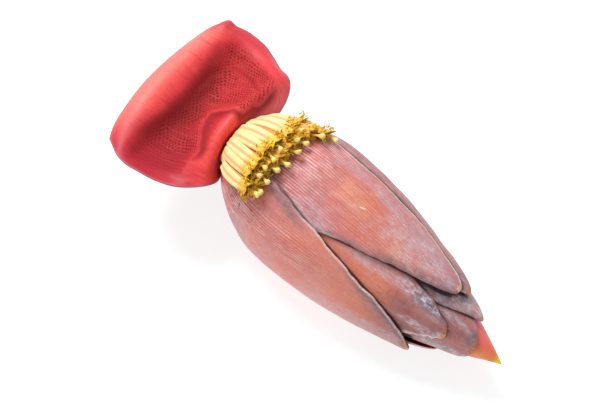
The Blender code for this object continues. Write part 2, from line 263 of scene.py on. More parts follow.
def mesh_object(name, points, faces, attributes, material):
    """An object from points in the frame of the bud and arrays of faces, one for each count of sides."""
    points = tip_over(points) + OFFSET
    points[:, 2] = np.maximum(points[:, 2], 0.0)
    mesh = bpy.data.meshes.new(name)
    groups = [np.asarray(f, np.int32) for f in faces]
    sides = np.concatenate([np.full(len(f), f.shape[1], np.int32) for f in groups])
    corners = np.concatenate([f.ravel() for f in groups])
    mesh.vertices.add(len(points))
    mesh.vertices.foreach_set("co", (points * MM).astype(np.float32).ravel())
    mesh.loops.add(len(corners))
    mesh.loops.foreach_set("vertex_index", corners)
    mesh.polygons.add(len(sides))
    starts = np.concatenate([[0], np.cumsum(sides)[:-1]]).astype(np.int32)
    mesh.polygons.foreach_set("loop_start", starts)
    mesh.polygons.foreach_set("loop_total", sides)
    mesh.polygons.foreach_set("use_smooth", np.ones(len(sides), bool))
    for key, values in attributes.items():
        field = mesh.attributes.new(key, "FLOAT", "POINT")
        field.data.foreach_set("value", np.asarray(values, np.float32).ravel())
    mesh.update(calc_edges=True)
    mesh.validate()
    mesh.materials.append(material)
    obj = bpy.data.objects.new(name, mesh)
    bpy.context.scene.collection.objects.link(obj)
    return obj


def grid_quads(n, m, start=0, flip=False):
    i = np.arange(n - 1)[:, None]
    j = np.arange(m - 1)[None, :]
    a = start + i * m + j
    quads = np.stack([a, a + 1, a + m + 1, a + m], -1).reshape(-1, 4)
    return quads[:, ::-1] if flip else quads


def sheet(outer, inner):
    """Points and quads of a closed sheet from two alike grids."""
    n, m = outer.shape[:2]
    size = n * m
    quads = [grid_quads(n, m), grid_quads(n, m, size, True)]
    rim = list(range(m)) + [i * m + m - 1 for i in range(1, n)]
    rim += [(n - 1) * m + j for j in range(m - 2, -1, -1)] + [i * m for i in range(n - 2, 0, -1)]
    rim = np.array(rim)
    after = np.roll(rim, -1)
    quads.append(np.stack([after, rim, rim + size, after + size], -1))
    points = np.concatenate([outer.reshape(-1, 3), inner.reshape(-1, 3)])
    return points, np.concatenate(quads)


def wrap_quads(n, m, start=0):
    """Quads of n rings with m points each."""
    i = np.arange(n - 1)[:, None]
    j = np.arange(m)[None, :]
    a = start + i * m + j
    b = start + i * m + (j + 1) % m
    return np.stack([a, a + m, b + m, b], -1).reshape(-1, 4)


def capped(rings, first, last):
    """Points, quads and triangles of a closed tube: its rings and the middle points of its two ends."""
    rows, sides = rings.shape[:2]
    k = np.arange(sides)
    j = (k + 1) % sides
    start, end = rows * sides, (rows - 1) * sides
    tris = [np.stack([np.full(sides, start), k, j], -1),
            np.stack([np.full(sides, start + 1), end + j, end + k], -1)]
    points = np.concatenate([rings.reshape(-1, 3), [first], [last]])
    return points, wrap_quads(rows, sides)[:, ::-1], np.concatenate(tris)


def on_both_faces(fields, inner):
    """The fields of a sheet for its two faces, and one that is 0 on the outer and 1 on the inner face."""
    both = {key: np.tile(f.ravel(), 2) for key, f in fields.items()}
    both[inner] = np.repeat([0.0, 1.0], len(next(iter(both.values()))) // 2)
    return both


def dress(obj, node):
    """Lets a piece stand for a node of the CAD."""
    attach(obj, "root")
    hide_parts(node)


def unit(vector):
    return vector / np.linalg.norm(vector)


class Heap:
    """Gathers many small closed shapes into one mesh."""

    def __init__(self):
        self.points, self.quads, self.tris = [], [], []
        self.fields = {}
        self.count = 0

    def add(self, points, quads, tris, fields):
        self.points.append(points)
        self.quads.append(quads + self.count)
        self.tris.append(tris + self.count)
        for key, values in fields.items():
            self.fields.setdefault(key, []).append(values)
        self.count += len(points)

    def tube(self, centres, y_dirs, z_dirs, across, up, sides, fields):
        """A closed tube with elliptic rings; fields hold one value a ring."""
        t = 2 * np.pi * (np.arange(sides) + 0.5) / sides
        wide = np.asarray(across)[:, None, None] * np.cos(t)[None, :, None] * np.asarray(y_dirs)[:, None, :]
        high = np.asarray(up)[:, None, None] * np.sin(t)[None, :, None] * np.asarray(z_dirs)[:, None, :]
        rings = np.asarray(centres)[:, None, :] + wide + high
        spread = {key: np.concatenate([np.repeat(v, sides), [v[0], v[-1]]]) for key, v in fields.items()}
        self.add(*capped(rings, centres[0], centres[-1]), spread)

    def build(self, name, material):
        faces = [np.concatenate(self.quads), np.concatenate(self.tris)]
        fields = {key: np.concatenate(v) for key, v in self.fields.items()}
        return mesh_object(name, np.concatenate(self.points), faces, fields, material)


# ---------------------------------------------------------------- materials


def tone(red, green, blue):
    """A display colour of 0 to 255 as linear values."""
    out = []
    for c in (red, green, blue):
        c = c / 255.0
        out.append(c / 12.92 if c <= 0.04045 else ((c + 0.055) / 1.055) ** 2.4)
    return (*out, 1.0)


class Paint:
    """Small helper that builds one node material."""

    def __init__(self, name, roughness=0.5, specular=0.4, coat=0.0, sheen=0.0):
        self.material = bpy.data.materials.new(name)
        self.material.use_nodes = True
        self.tree = self.material.node_tree
        self.shader = self.tree.nodes["Principled BSDF"]
        self.shader.inputs["Roughness"].default_value = roughness
        self.shader.inputs["Specular IOR Level"].default_value = specular
        self.shader.inputs["Coat Weight"].default_value = coat
        self.shader.inputs["Coat Roughness"].default_value = 0.25
        self.shader.inputs["Sheen Weight"].default_value = sheen
        self.where = self.new("ShaderNodeTexCoord").outputs["Object"]

    def new(self, kind):
        return self.tree.nodes.new(kind)

    def plug(self, socket, value):
        if isinstance(value, bpy.types.NodeSocket):
            self.tree.links.new(value, socket)
        else:
            socket.default_value = value

    def field(self, name, strength=1.0):
        """A field of the mesh, times a strength."""
        node = self.new("ShaderNodeAttribute")
        node.attribute_type = "GEOMETRY"
        node.attribute_name = name
        value = node.outputs["Fac"]
        return value if strength == 1.0 else self.times(value, strength)

    def sums(self, kind, a, b=0.0):
        node = self.new("ShaderNodeMath")
        node.operation = kind
        self.plug(node.inputs[0], a)
        self.plug(node.inputs[1], b)
        return node.outputs[0]

    def times(self, a, b):
        return self.sums("MULTIPLY", a, b)

    def plus(self, a, b):
        return self.sums("ADD", a, b)

    def weighed(self, *rows):
        """The sum of values, each times its weight."""
        parts = [self.times(value, weight) for value, weight in rows]
        total = parts[0]
        for part in parts[1:]:
            total = self.plus(total, part)
        return total

    def waves(self, name, wobble=0.0):
        """A wave from 0 to 1 with one crest for each whole step of a field."""
        wave = self.sums("SINE", self.plus(self.field(name, 2 * math.pi), wobble))
        node = self.new("ShaderNodeMath")
        node.operation = "MULTIPLY_ADD"
        self.plug(node.inputs[0], wave)
        node.inputs[1].default_value = 0.5
        node.inputs[2].default_value = 0.5
        return node.outputs[0]

    def ramp(self, value, low, high, out_low=0.0, out_high=1.0):
        node = self.new("ShaderNodeMapRange")
        node.interpolation_type = "SMOOTHSTEP"
        self.plug(node.inputs["Value"], value)
        node.inputs["From Min"].default_value = low
        node.inputs["From Max"].default_value = high
        node.inputs["To Min"].default_value = out_low
        node.inputs["To Max"].default_value = out_high
        return node.outputs["Result"]

    def mix(self, share, a, b):
        node = self.new("ShaderNodeMix")
        node.data_type = "RGBA"
        self.plug(node.inputs["Factor"], share)
        self.plug(node.inputs["A"], a)
        self.plug(node.inputs["B"], b)
        return node.outputs["Result"]

    def layers(self, colour, *rows):
        """The colour with tints laid over it one after another, each row a share and a tint."""
        for share, tint in rows:
            colour = self.mix(share, colour, tint)
        return colour

    def noise(self, scale, detail=3.0, rough=0.55, stretch=None, turn=0.0):
        node = self.new("ShaderNodeTexNoise")
        node.inputs["Scale"].default_value = scale
        node.inputs["Detail"].default_value = detail
        node.inputs["Roughness"].default_value = rough
        if stretch is None:
            self.plug(node.inputs["Vector"], self.where)
        else:
            shape = self.new("ShaderNodeMapping")
            shape.inputs["Scale"].default_value = stretch
            shape.inputs["Rotation"].default_value = (0.0, turn, 0.0)
            self.plug(shape.inputs["Vector"], self.where)
            self.plug(node.inputs["Vector"], shape.outputs["Vector"])
        return node.outputs["Fac"]

    def streaks(self, across, along, fine, long, detail=3.0, shift=0.0):
        """Noise drawn out along a blade: fine counts across it, long along it."""
        node = self.new("ShaderNodeCombineXYZ")
        self.plug(node.inputs[0], self.field(across, fine))
        self.plug(node.inputs[1], self.field(along, long))
        node.inputs[2].default_value = shift
        noise = self.new("ShaderNodeTexNoise")
        noise.inputs["Scale"].default_value = 1.0
        noise.inputs["Detail"].default_value = detail
        noise.inputs["Roughness"].default_value = 0.6
        self.plug(noise.inputs["Vector"], node.outputs[0])
        return noise.outputs["Fac"]

    def bump(self, height, strength, distance):
        node = self.new("ShaderNodeBump")
        node.inputs["Strength"].default_value = strength
        node.inputs["Distance"].default_value = distance
        self.plug(node.inputs["Height"], height)
        return node.outputs["Normal"]

    def finish(self, colour, normal=None, rough=None):
        self.plug(self.shader.inputs["Base Color"], colour)
        if normal is not None:
            self.plug(self.shader.inputs["Normal"], normal)
        if rough is not None:
            self.plug(self.shader.inputs["Roughness"], rough)
        return self.material


MAUVE = tone(206, 116, 112)
SALMON = tone(222, 124, 92)
LILAC = tone(190, 136, 144)
BLOOM = tone(206, 190, 198)
SLATE = tone(112, 100, 110)
VEIN_PALE = tone(250, 214, 208)
VEIN_RED = tone(182, 62, 60)
INNER_RED = tone(168, 34, 44)
CREVICE_SHADE = tone(44, 20, 26)
GOLD = tone(228, 142, 20)
TORN = tone(232, 212, 206)


def bract_paint(name, seed):
    """Outer skin of a bract: mauve and salmon, fine veins, waxy bloom, coloured point, red inner face, and
    painted shade in the crevices beside overlying bracts.
    """
    p = Paint(name, roughness=0.5, specular=0.4, sheen=0.04)

    def streaks(fine, long, detail, shift):
        return p.streaks("vein", "run", fine, long, detail, seed + shift)

    cloud = p.noise(38.0, 5.0, 0.62)
    patch = p.noise(24.0, 5.0, 0.62)
    grain = p.noise(900.0, 3.0, 0.6)
    fleck = p.noise(230.0, 5.0, 0.7)
    streak = streaks(0.9, 0.016, 4.0, 0.0)
    strand = streaks(2.4, 0.05, 3.0, 5.0)
    hair = streaks(3.4, 0.16, 5.0, 13.0)
    breaks = streaks(0.35, 0.09, 4.0, 9.0)
    wobble = p.times(p.sums("SUBTRACT", streaks(0.3, 0.02, 2.0, 3.0), 0.5), 10.0)
    # large areas of colour
    warm = p.times(p.field("salmon"), p.ramp(patch, 0.30, 0.60, 0.55, 1.0))
    dusk = p.times(p.field("dusk"), p.ramp(fleck, 0.3, 0.6, 0.6, 1.0))
    # veins, broken along their way
    fine = p.waves("vein", wobble)
    ribs = p.field("ribs")
    light = p.times(p.ramp(fine, 0.60, 0.98), p.times(ribs, p.ramp(breaks, 0.42, 0.60, 0.08, 1.0)))
    dark = p.times(p.ramp(fine, 0.45, 0.05), p.times(ribs, p.ramp(breaks, 0.62, 0.40, 0.30, 1.0)))
    # bloom, stains, margins
    veil = p.ramp(p.weighed((p.noise(110.0, 6.0, 0.72), 0.6), (hair, 0.4)), 0.36, 0.66)
    veil = p.times(p.field("bloom"), veil)
    grey = p.times(p.field("slate"), p.ramp(p.noise(150.0, 5.0, 0.7), 0.3, 0.62, 0.35, 1.0))
    scratch = p.times(p.ramp(hair, 0.54, 0.70), p.plus(p.field("bloom", 0.55), 0.14))
    waxy = p.times(p.field("wax"), p.ramp(p.weighed((hair, 0.5), (fleck, 0.5)), 0.46, 0.58))
    rim = p.times(p.field("pale"), p.ramp(p.noise(420.0, 4.0, 0.7), 0.3, 0.55, 0.4, 1.0))
    gilt = p.times(p.field("gold"), p.ramp(hair, 0.42, 0.56, 0.30, 1.0))
    colour = p.layers(
        p.mix(p.ramp(cloud, 0.36, 0.66), MAUVE, LILAC),
        (warm, p.mix(p.ramp(cloud, 0.35, 0.65), SALMON, tone(214, 130, 98))),
        (dusk, tone(120, 72, 74)),
        (p.ramp(streak, 0.50, 0.72, 0.0, 0.50), tone(170, 84, 80)),
        (p.ramp(streak, 0.46, 0.26, 0.0, 0.32), tone(226, 164, 158)),
        (p.times(dark, 0.80), VEIN_RED),
        (p.times(light, 0.96), VEIN_PALE),
        (p.ramp(strand, 0.52, 0.72, 0.0, 0.34), tone(150, 78, 76)),
        (p.ramp(fleck, 0.52, 0.70, 0.0, 0.24), tone(146, 84, 84)),
        (p.times(p.ramp(fleck, 0.54, 0.66), p.field("blotch")), tone(138, 40, 34)),
        (p.field("lift"), tone(252, 150, 132)),
        (p.times(veil, 0.72), BLOOM),
        (grey, SLATE),
        (scratch, tone(240, 222, 222)),
        (p.times(waxy, 0.9), tone(228, 226, 238)),
        (rim, TORN),
        (gilt, p.mix(p.ramp(grain, 0.4, 0.6), GOLD, tone(180, 92, 14))),
        (p.ramp(grain, 0.35, 0.75, 0.0, 0.20), tone(120, 66, 68)),
        # painted shade in the crevices beside the margins of overlying bracts
        (p.field("crevice_shade", 0.92), CREVICE_SHADE),
        (p.field("inner"), p.mix(p.ramp(cloud, 0.3, 0.7), INNER_RED, tone(138, 20, 34))),
    )
    height = p.weighed((light, 0.7), (grain, 0.22), (p.plus(streak, strand), 0.45), (hair, 0.3),
                       (p.noise(300.0, 4.0, 0.7), p.field("wrinkle", 1.8)))
    return p.finish(colour, p.bump(height, 0.55, 0.0005), p.ramp(veil, 0.0, 1.0, 0.46, 0.68))


# ---------------------------------------------------------------- the bracts of the bud

# columns, rows, seed, wave of the margin in mm, lift of the margin in mm
FINE = {
    "bract_core_left": (130, 80, 11, 0.5, 0.3),
    "bract_core_right": (130, 80, 12, 0.4, 0.3),
    "bract_core_back": (90, 50, 13, 0.4, 0.2),
    "bract_low": (90, 50, 14, 0.4, 0.2),
    "bract_middle": (180, 130, 15, 1.1, 0.5),
    "bract_far": (160, 100, 16, 0.6, 0.6),
    "bract_upper": (180, 140, 17, 0.9, 0.6),
    "bract_near": (280, 150, 18, 1.2, 0.6),
}
VEIN_PITCH_DEG = 2.2
RIB_HEIGHT = 0.13
# how far in mm the shadow reaches beside a bract that lies over another
GAP_SHADE = {"bract_far": 4.6, "bract_middle": 1.0}
USUAL_GAP_SHADE = 1.5


def spot(x, angle, at_x, at_angle, size_x, size_angle, turn=0.0):
    """A soft oval patch on the bud, 1 in its middle."""
    dx = x - at_x
    da = (angle - at_angle) * 0.78
    c, s = math.cos(math.radians(turn)), math.sin(math.radians(turn))
    a = (dx * c + da * s) / size_x
    b = (-dx * s + da * c) / (size_angle * 0.78)
    return 1 - smooth(0.45, 1.15, np.hypot(a, b))


def bract_fields(name, x, angle, edge, ahead, w, seed):
    """Colour fields of one bract from its stations, angles and distances to its margin and point."""
    turned = (angle + 180) % 360 - 180
    n1, n2, n3 = (wander(seed + k, x, turned * 0.78, size) for k, size in ((0, 46.0), (50, 22.0), (70, 9.0)))

    def patch(*oval):
        return spot(x, turned, *oval)

    def after(start, end):
        return smooth(start, end, x)

    def before(start, end):
        return 1 - smooth(start, end, x)

    def hem(start, end, waver=0):
        return 1 - smooth(start, end, edge + waver)

    fields = {
        "salmon": 0.8 * after(70, 130) * before(168, 200) * (0.75 + 0.25 * n1),
        "bloom": 0.30 + 0.3 * n2 + 0.4 * after(150, 190),
        "ribs": 0.12 + 0.73 * before(60, 120),
        "dusk": 0.5 * after(160, 200) * (0.8 + 0.4 * n2),
        "pale": 0.75 * hem(0.3, 1.1) * after(60, 100),
        "gold": (1 - smooth(1.8, 4.6 + 1.2 * n3, ahead)) * (0.85 + 0.3 * n2),
        "wrinkle": after(150, 190),
        "slate": 0, "blotch": 0, "wax": 0, "lift": 0,
    }
    if name == "bract_upper":
        ring = np.hypot(x - 160, (turned - 2) * 0.6)
        near_side = turned < 9
        scratch = patch(109, -2.6, 2.8, 0.8, 20)
        torn = 0.8 * hem(0.4, 2.0) * (turned < 0) * patch(92, -36, 22, 12)
        fields.update(
            salmon=0.80 * patch(126, -7, 70, 23, -8.5) + 0.30 * n2 * patch(120, 0, 80, 40),
            bloom=(0.75 * patch(84, -34, 22, 14) + 0.85 * patch(156, 3, 38, 20) + 0.20 * n2
                   + 0.5 * patch(120, 22, 62, 10) + 0.35 * np.exp(-((ring - 12 - 2 * n3) / 2.0) ** 2)),
            dusk=0.38 * patch(76, -4, 12, 26) + 0.30 * after(168, 186) + 0.15 * n3,
            slate=(0.80 * hem(2.0, 6.5, n3) * near_side * after(100, 150)
                   + 0.75 * hem(1.5, 4.5) * near_side * before(96, 125) * after(30, 50)),
            ribs=0.20 + 0.80 * before(52, 96),
            pale=np.maximum(np.maximum(hem(1.0, 2.4) * (turned > 9) * after(40, 60), scratch), torn),
            wax=0.3 * patch(170, 8, 26, 10),
            blotch=0.9 * before(44, 62),
            lift=0.12 * patch(70, 0, 30, 40),
        )
    elif name == "bract_near":
        warm = np.maximum(patch(108, -57, 44, 17, -8), 0.9 * patch(140, -74, 36, 15, -10))
        fields.update(
            lift=0.34 * before(120, 150) * after(40, 60) + 0.26 * smooth(-60, -84, turned),
            salmon=warm + 0.2 * n2,
            bloom=(0.8 * patch(146, -98, 50, 16) + 0.7 * smooth(-80, -112, turned) + 0.15 * n2
                   + 0.45 * patch(58, -84, 26, 18)),
            slate=(0.80 * hem(3.0, 8.0, n3) * before(70, 96) * (turned > -90)
                   + 0.7 * hem(1.5, 5.0, n3) * after(110, 150) * (turned > -105)),
            dusk=0.95 * after(142, 168) * (0.85 + 0.3 * n2) + 0.40 * patch(66, -44, 16, 9) + 0.1 * n3,
            ribs=0.10 + 1.1 * before(88, 124) * smooth(-40, -62, turned) * (0.8 + 0.3 * n1),
            blotch=1.2 * before(52, 64) * (turned > -80) + 0.8 * patch(71, -43, 6, 5),
        )
    elif name == "bract_middle":
        fields.update(
            salmon=0.45 + 0.8 * patch(134, -50, 40, 18, 0),
            bloom=0.6 * patch(186, -34, 22, 12) + 0.95 * patch(134, -30, 46, 9, 0) + 0.15 * n2,
            slate=0.85 * patch(184, -28, 15, 9) + 0.5 * hem(1.0, 4.0, n3) * after(150, 170),
            dusk=0.75 * after(146, 176) * (0.8 + 0.4 * n2),
            wax=0.95 * patch(176, -26, 24, 10) + 0.7 * patch(185, -62, 18, 8),
            ribs=0.10 + 0.05 * n2,
            lift=0.14 * before(140, 165) + 0.60 * before(100, 134),
            pale=hem(1.2, 3.6, 1.4 * n3) * (turned < -50) * after(140, 156),
        )
    elif name == "bract_far":
        fields.update(
            salmon=0.25 + 0.2 * n1,
            bloom=0.25 + 0.25 * n2,
            dusk=0.62 + 0.38 * after(166, 186),
            ribs=0.4,
        )
    elif name == "bract_core_right":
        fields.update(
            salmon=0.05 + 0.1 * n1,
            bloom=0.45 + 0.3 * n2,
            dusk=0.45 + 0.2 * n3,
            slate=0.55 + 0.3 * n2,
            lift=0.14,
            wax=0.5 + 0.95 * patch(189, 16, 16, 16),
            ribs=0.08,
            pale=0,
        )
    elif name == "bract_core_left":
        fields.update(
            salmon=0.25 + 0.15 * n1,
            bloom=0.30 + 0.5 * patch(198, -100, 34, 26) + 0.25 * n2,
            dusk=0.30 + 0.35 * patch(206, -28, 14, 30),
            slate=0.85 * patch(220, -22, 7, 34) + 0.7 * patch(205, -92, 24, 14),
            wax=0.9 * patch(210, -94, 26, 14) + 0.6 * patch(203, -18, 14, 12),
            ribs=0.08,
            pale=0,
        )
    elif name == "bract_low":
        fields.update(
            salmon=0.1 + 0.1 * n1,
            bloom=0.7 + 0.2 * n2,
            slate=0.4 + 0.3 * n2,
            wax=0.5 + 0.3 * n3,
            lift=0.25,
            ribs=0.1,
        )
    # painted shade: the crevice field darkens a bract just outside the margins of the bracts that lie over it
    shade = GAP_SHADE.get(name, USUAL_GAP_SHADE)
    crevice_shade = 0
    names = list(BRACTS)
    for other in names[names.index(name) + 1:]:
        gap = outside(BRACTS[other], w, angle)
        crevice_shade = np.maximum(crevice_shade, (1 - smooth(0.1, shade, gap) ** 2) * after(40, 70))
    fields["crevice_shade"] = crevice_shade * (0.35 if name == "bract_low" else 0.9)
    return {key: np.clip(value + 0 * x, 0, 1) for key, value in fields.items()}


def fine_bract(name):
    bract = BRACTS[name]
    columns, rows, seed, wave, raise_edge = FINE[name]
    reach, thick, lift = bract[3], bract[4], bract[5]
    last = float(share_at(reach * 0.9992))
    s = np.linspace(0, 1, rows + 1)
    v = np.linspace(-1, 1, columns + 1)[None, :]
    v = np.sign(v) * (1 - (1 - np.abs(v)) ** 1.12)
    w = last * (1 - (1 - s) ** 1.18)[:, None] + 0 * v
    x = station(w)
    half = half_angle(bract, x)
    r = np.maximum(radius(w), 3.0)
    if name == "bract_upper":
        half = half - 3.5 * smooth(0.0, 0.8, v) * smooth(40, 80, x) * (1 - smooth(170, 188, x))
    margin = wave * wander(seed, x, 30 * np.sign(v), 34.0)
    margin = margin + 0.30 * wave * wander(seed + 3, x, 30 * np.sign(v), 10.0)
    if name == "bract_middle":
        margin = margin + 0.9 * wander(seed + 5, x, 0 * x, 5.0) * smooth(138, 150, x) * (v < 0)
    half = half + np.degrees(margin / r) * np.abs(v) * smooth(0, 4, reach - x)
    angle = centre_line(bract, x) + v * half
    edge = np.radians(half * (1 - np.abs(v))) * r
    ahead = np.maximum(reach - x, 0)
    edge = np.minimum(edge, ahead * 0.6)
    low = height_under(name, w, angle) + lift * smooth(0.88, 1.0, w / last)
    low = low + raise_edge * (1 - smooth(0.0, 9.0, edge)) * smooth(0.05, 0.3, w)
    fields = bract_fields(name, x, angle, edge, ahead, w, seed)
    vein = (angle - bract[0]) / VEIN_PITCH_DEG
    rib = RIB_HEIGHT * np.sin(2 * np.pi * vein) * fields["ribs"] * smooth(0, 3, edge)
    swell = 0.35 * wander(seed + 7, x, angle * 0.78, 38.0) + 0.12 * wander(seed + 9, x, angle * 0.78, 12.0)
    body = thick * layer(w) * rounded(edge, 1.6, 0.03)
    high = low + body + (rib + swell * smooth(0, 5, edge)) * smooth(0, 0.08, w)
    points, quads = sheet(place(w, angle, high), place(w, angle, low))
    both = on_both_faces({**fields, "vein": vein, "run": x}, "inner")
    obj = mesh_object(name + "_skin", points, [quads], both, bract_paint("skin_" + name, float(seed)))
    dress(obj, name)


# ---------------------------------------------------------------- the bract that has bent back


def fold_surface(rows, columns):
    """The folded sheet on even steps along its middle: run in mm, share across, points, half width."""
    fine = np.linspace(0, 1, 2001)
    middle = spline(FOLD, fine)
    lengths = np.concatenate([[0.0], np.cumsum(np.hypot(np.diff(middle[:, 0]), np.diff(middle[:, 1])))])
    run = np.linspace(0, lengths[-1], rows + 1)
    u = np.interp(run, lengths, fine)
    v = np.linspace(-1, 1, columns + 1)[None, :]
    line = spline(FOLD, u)
    x = line[:, 0][:, None] + line[:, 4][:, None] * np.abs(v) ** 3 * (1 - FOLD_SKEW * v)
    shift = FOLD_OFFSET_Y * smooth(0.08, 0.3, u) - FOLD_DRIFT_Y * smooth(0.3, 0.65, u)
    y = line[:, 2][:, None] * v + shift[:, None]
    z = line[:, 1][:, None] - line[:, 3][:, None] * v ** 2
    turn = math.radians(FOLD_YAW) * smooth(0.0, 0.25, u)[:, None]
    face = np.stack([x * np.cos(turn) - y * np.sin(turn), y * np.cos(turn) + x * np.sin(turn), z], -1)
    angle = FOOT_FROM + (FOOT_TO - FOOT_FROM) * (v + 1) / 2 + 0 * z
    w = share_at(FOOT_X) + 0 * angle
    ring = place(w, angle, height_under("", w, angle) + FOOT_RISE)
    k = np.clip(1 - u[:, None] / (FOOT_SHARE * (1 - FOOT_FAR * np.maximum(v, 0))), 0, 1) ** FOOT_EASE
    face = face * (1 - k[..., None]) + ring * k[..., None]
    swell = 4 * k * (1 - k) * v ** 4
    face[..., 0] += FOOT_PUSH * swell
    face[..., 2] -= FOOT_SAG * swell
    return run[:, None] + 0 * v, v + 0 * u[:, None], face, line[:, 2][:, None] + 0 * v


def grid_normals(face):
    normal = np.cross(np.gradient(face, axis=1), np.gradient(face, axis=0))
    return normal / np.maximum(np.linalg.norm(normal, axis=-1, keepdims=True), 1e-9)


# the crease between the ridge beside the flowers and the dish: share across, run in mm
CREASE = [(-1.0, 34), (-0.73, 31), (-0.63, 27), (-0.51, 31), (-0.35, 38), (-0.23, 42), (-0.12, 42),
          (-0.08, 36), (-0.05, 22), (0.03, 13), (0.42, 10), (0.63, 13), (0.8, 17), (1.0, 19)]
# the top of that ridge, and the edge of the raised part of the dish: run in mm, share across
CREST = [(-1.0, 11), (-0.77, 12), (-0.63, 15), (-0.47, 15), (-0.32, 13), (0.0, 9), (0.39, 6), (1.0, 6)]
STEP = [(8, 0.34), (14, 0.34), (23, 0.37), (39, 0.49), (48, 0.53), (57, 0.54), (63, 0.49), (67, 0.34),
        (69, 0.10)]
# how far the two rims swing out from the plain sheet: run in mm, distance in mm
RIM_FAR = [(0, 2.0), (5, 2.2), (12, 0.6), (18, -2.2), (24, -4.8), (29, -4.8), (36, -2.8), (46, 0.3),
           (54, 3.0), (60, 3.5), (73, 3.0), (83, 1.3), (93, 0.0)]
RIM_NEAR = [(4, -3.0), (12, -4.0), (21, -2.0), (37, 3.0), (55, 6.0), (74, 6.6), (87, 4.6), (97, -1.0),
            (106, -4.0), (125, -1.0)]
# the top of the rolled edge and its start, as runs in mm, and the half width that the plan is drawn at
ROLL_TOP = 97.0
ROLL_FOOT = 76.0
PLAN_WIDTH = 55.0
# the net of pits and the arcs beside it: distances in mm
PIT_ACROSS = 2.2
PIT_ALONG = 2.9
ARC_PITCH = 2.5
SMOOTHING_PASSES = 90
PEAK_REACH = np.array([0.0, 2.6, 3.0])


def line_distance(a, b, line):
    """Distance in mm from points to a broken line."""
    best = np.full(a.shape, 1e9)
    for (a0, b0), (a1, b1) in zip(line[:-1], line[1:]):
        da, db = a1 - a0, b1 - b0
        f = np.clip(((a - a0) * da + (b - b0) * db) / (da * da + db * db), 0, 1)
        best = np.minimum(best, np.hypot(a - a0 - f * da, b - b0 - f * db))
    return best


def looked_up(rows, t):
    """Values of a table of pairs at t."""
    return np.interp(t, [r[0] for r in rows], [r[1] for r in rows])


def eased(rows, t):
    """Values of a table at t, with its corners rounded off."""
    return sum(looked_up(rows, t + d) for d in (-4.0, -2.0, 0.0, 2.0, 4.0)) / 5.0


def bell(t, width):
    """1 where t is 0, falling off to both sides."""
    return np.exp(-(t / width) ** 2)


def rounded(edge, reach, least):
    """Share of the full thickness at a distance from the edge of a sheet with a rounded margin."""
    return np.sqrt(np.clip(1 - (1 - np.minimum(edge / reach, 1)) ** 2, least, 1))


def lowest_near(grid, reach):
    """The least value of a grid within a few steps of each place."""
    low = grid
    for axis in (0, 1):
        pad = np.pad(low, [(reach, reach) if k == axis else (0, 0) for k in (0, 1)], mode="edge")
        size = low.shape[axis]
        low = np.min([np.take(pad, range(k, k + size), axis) for k in range(2 * reach + 1)], axis=0)
    return low


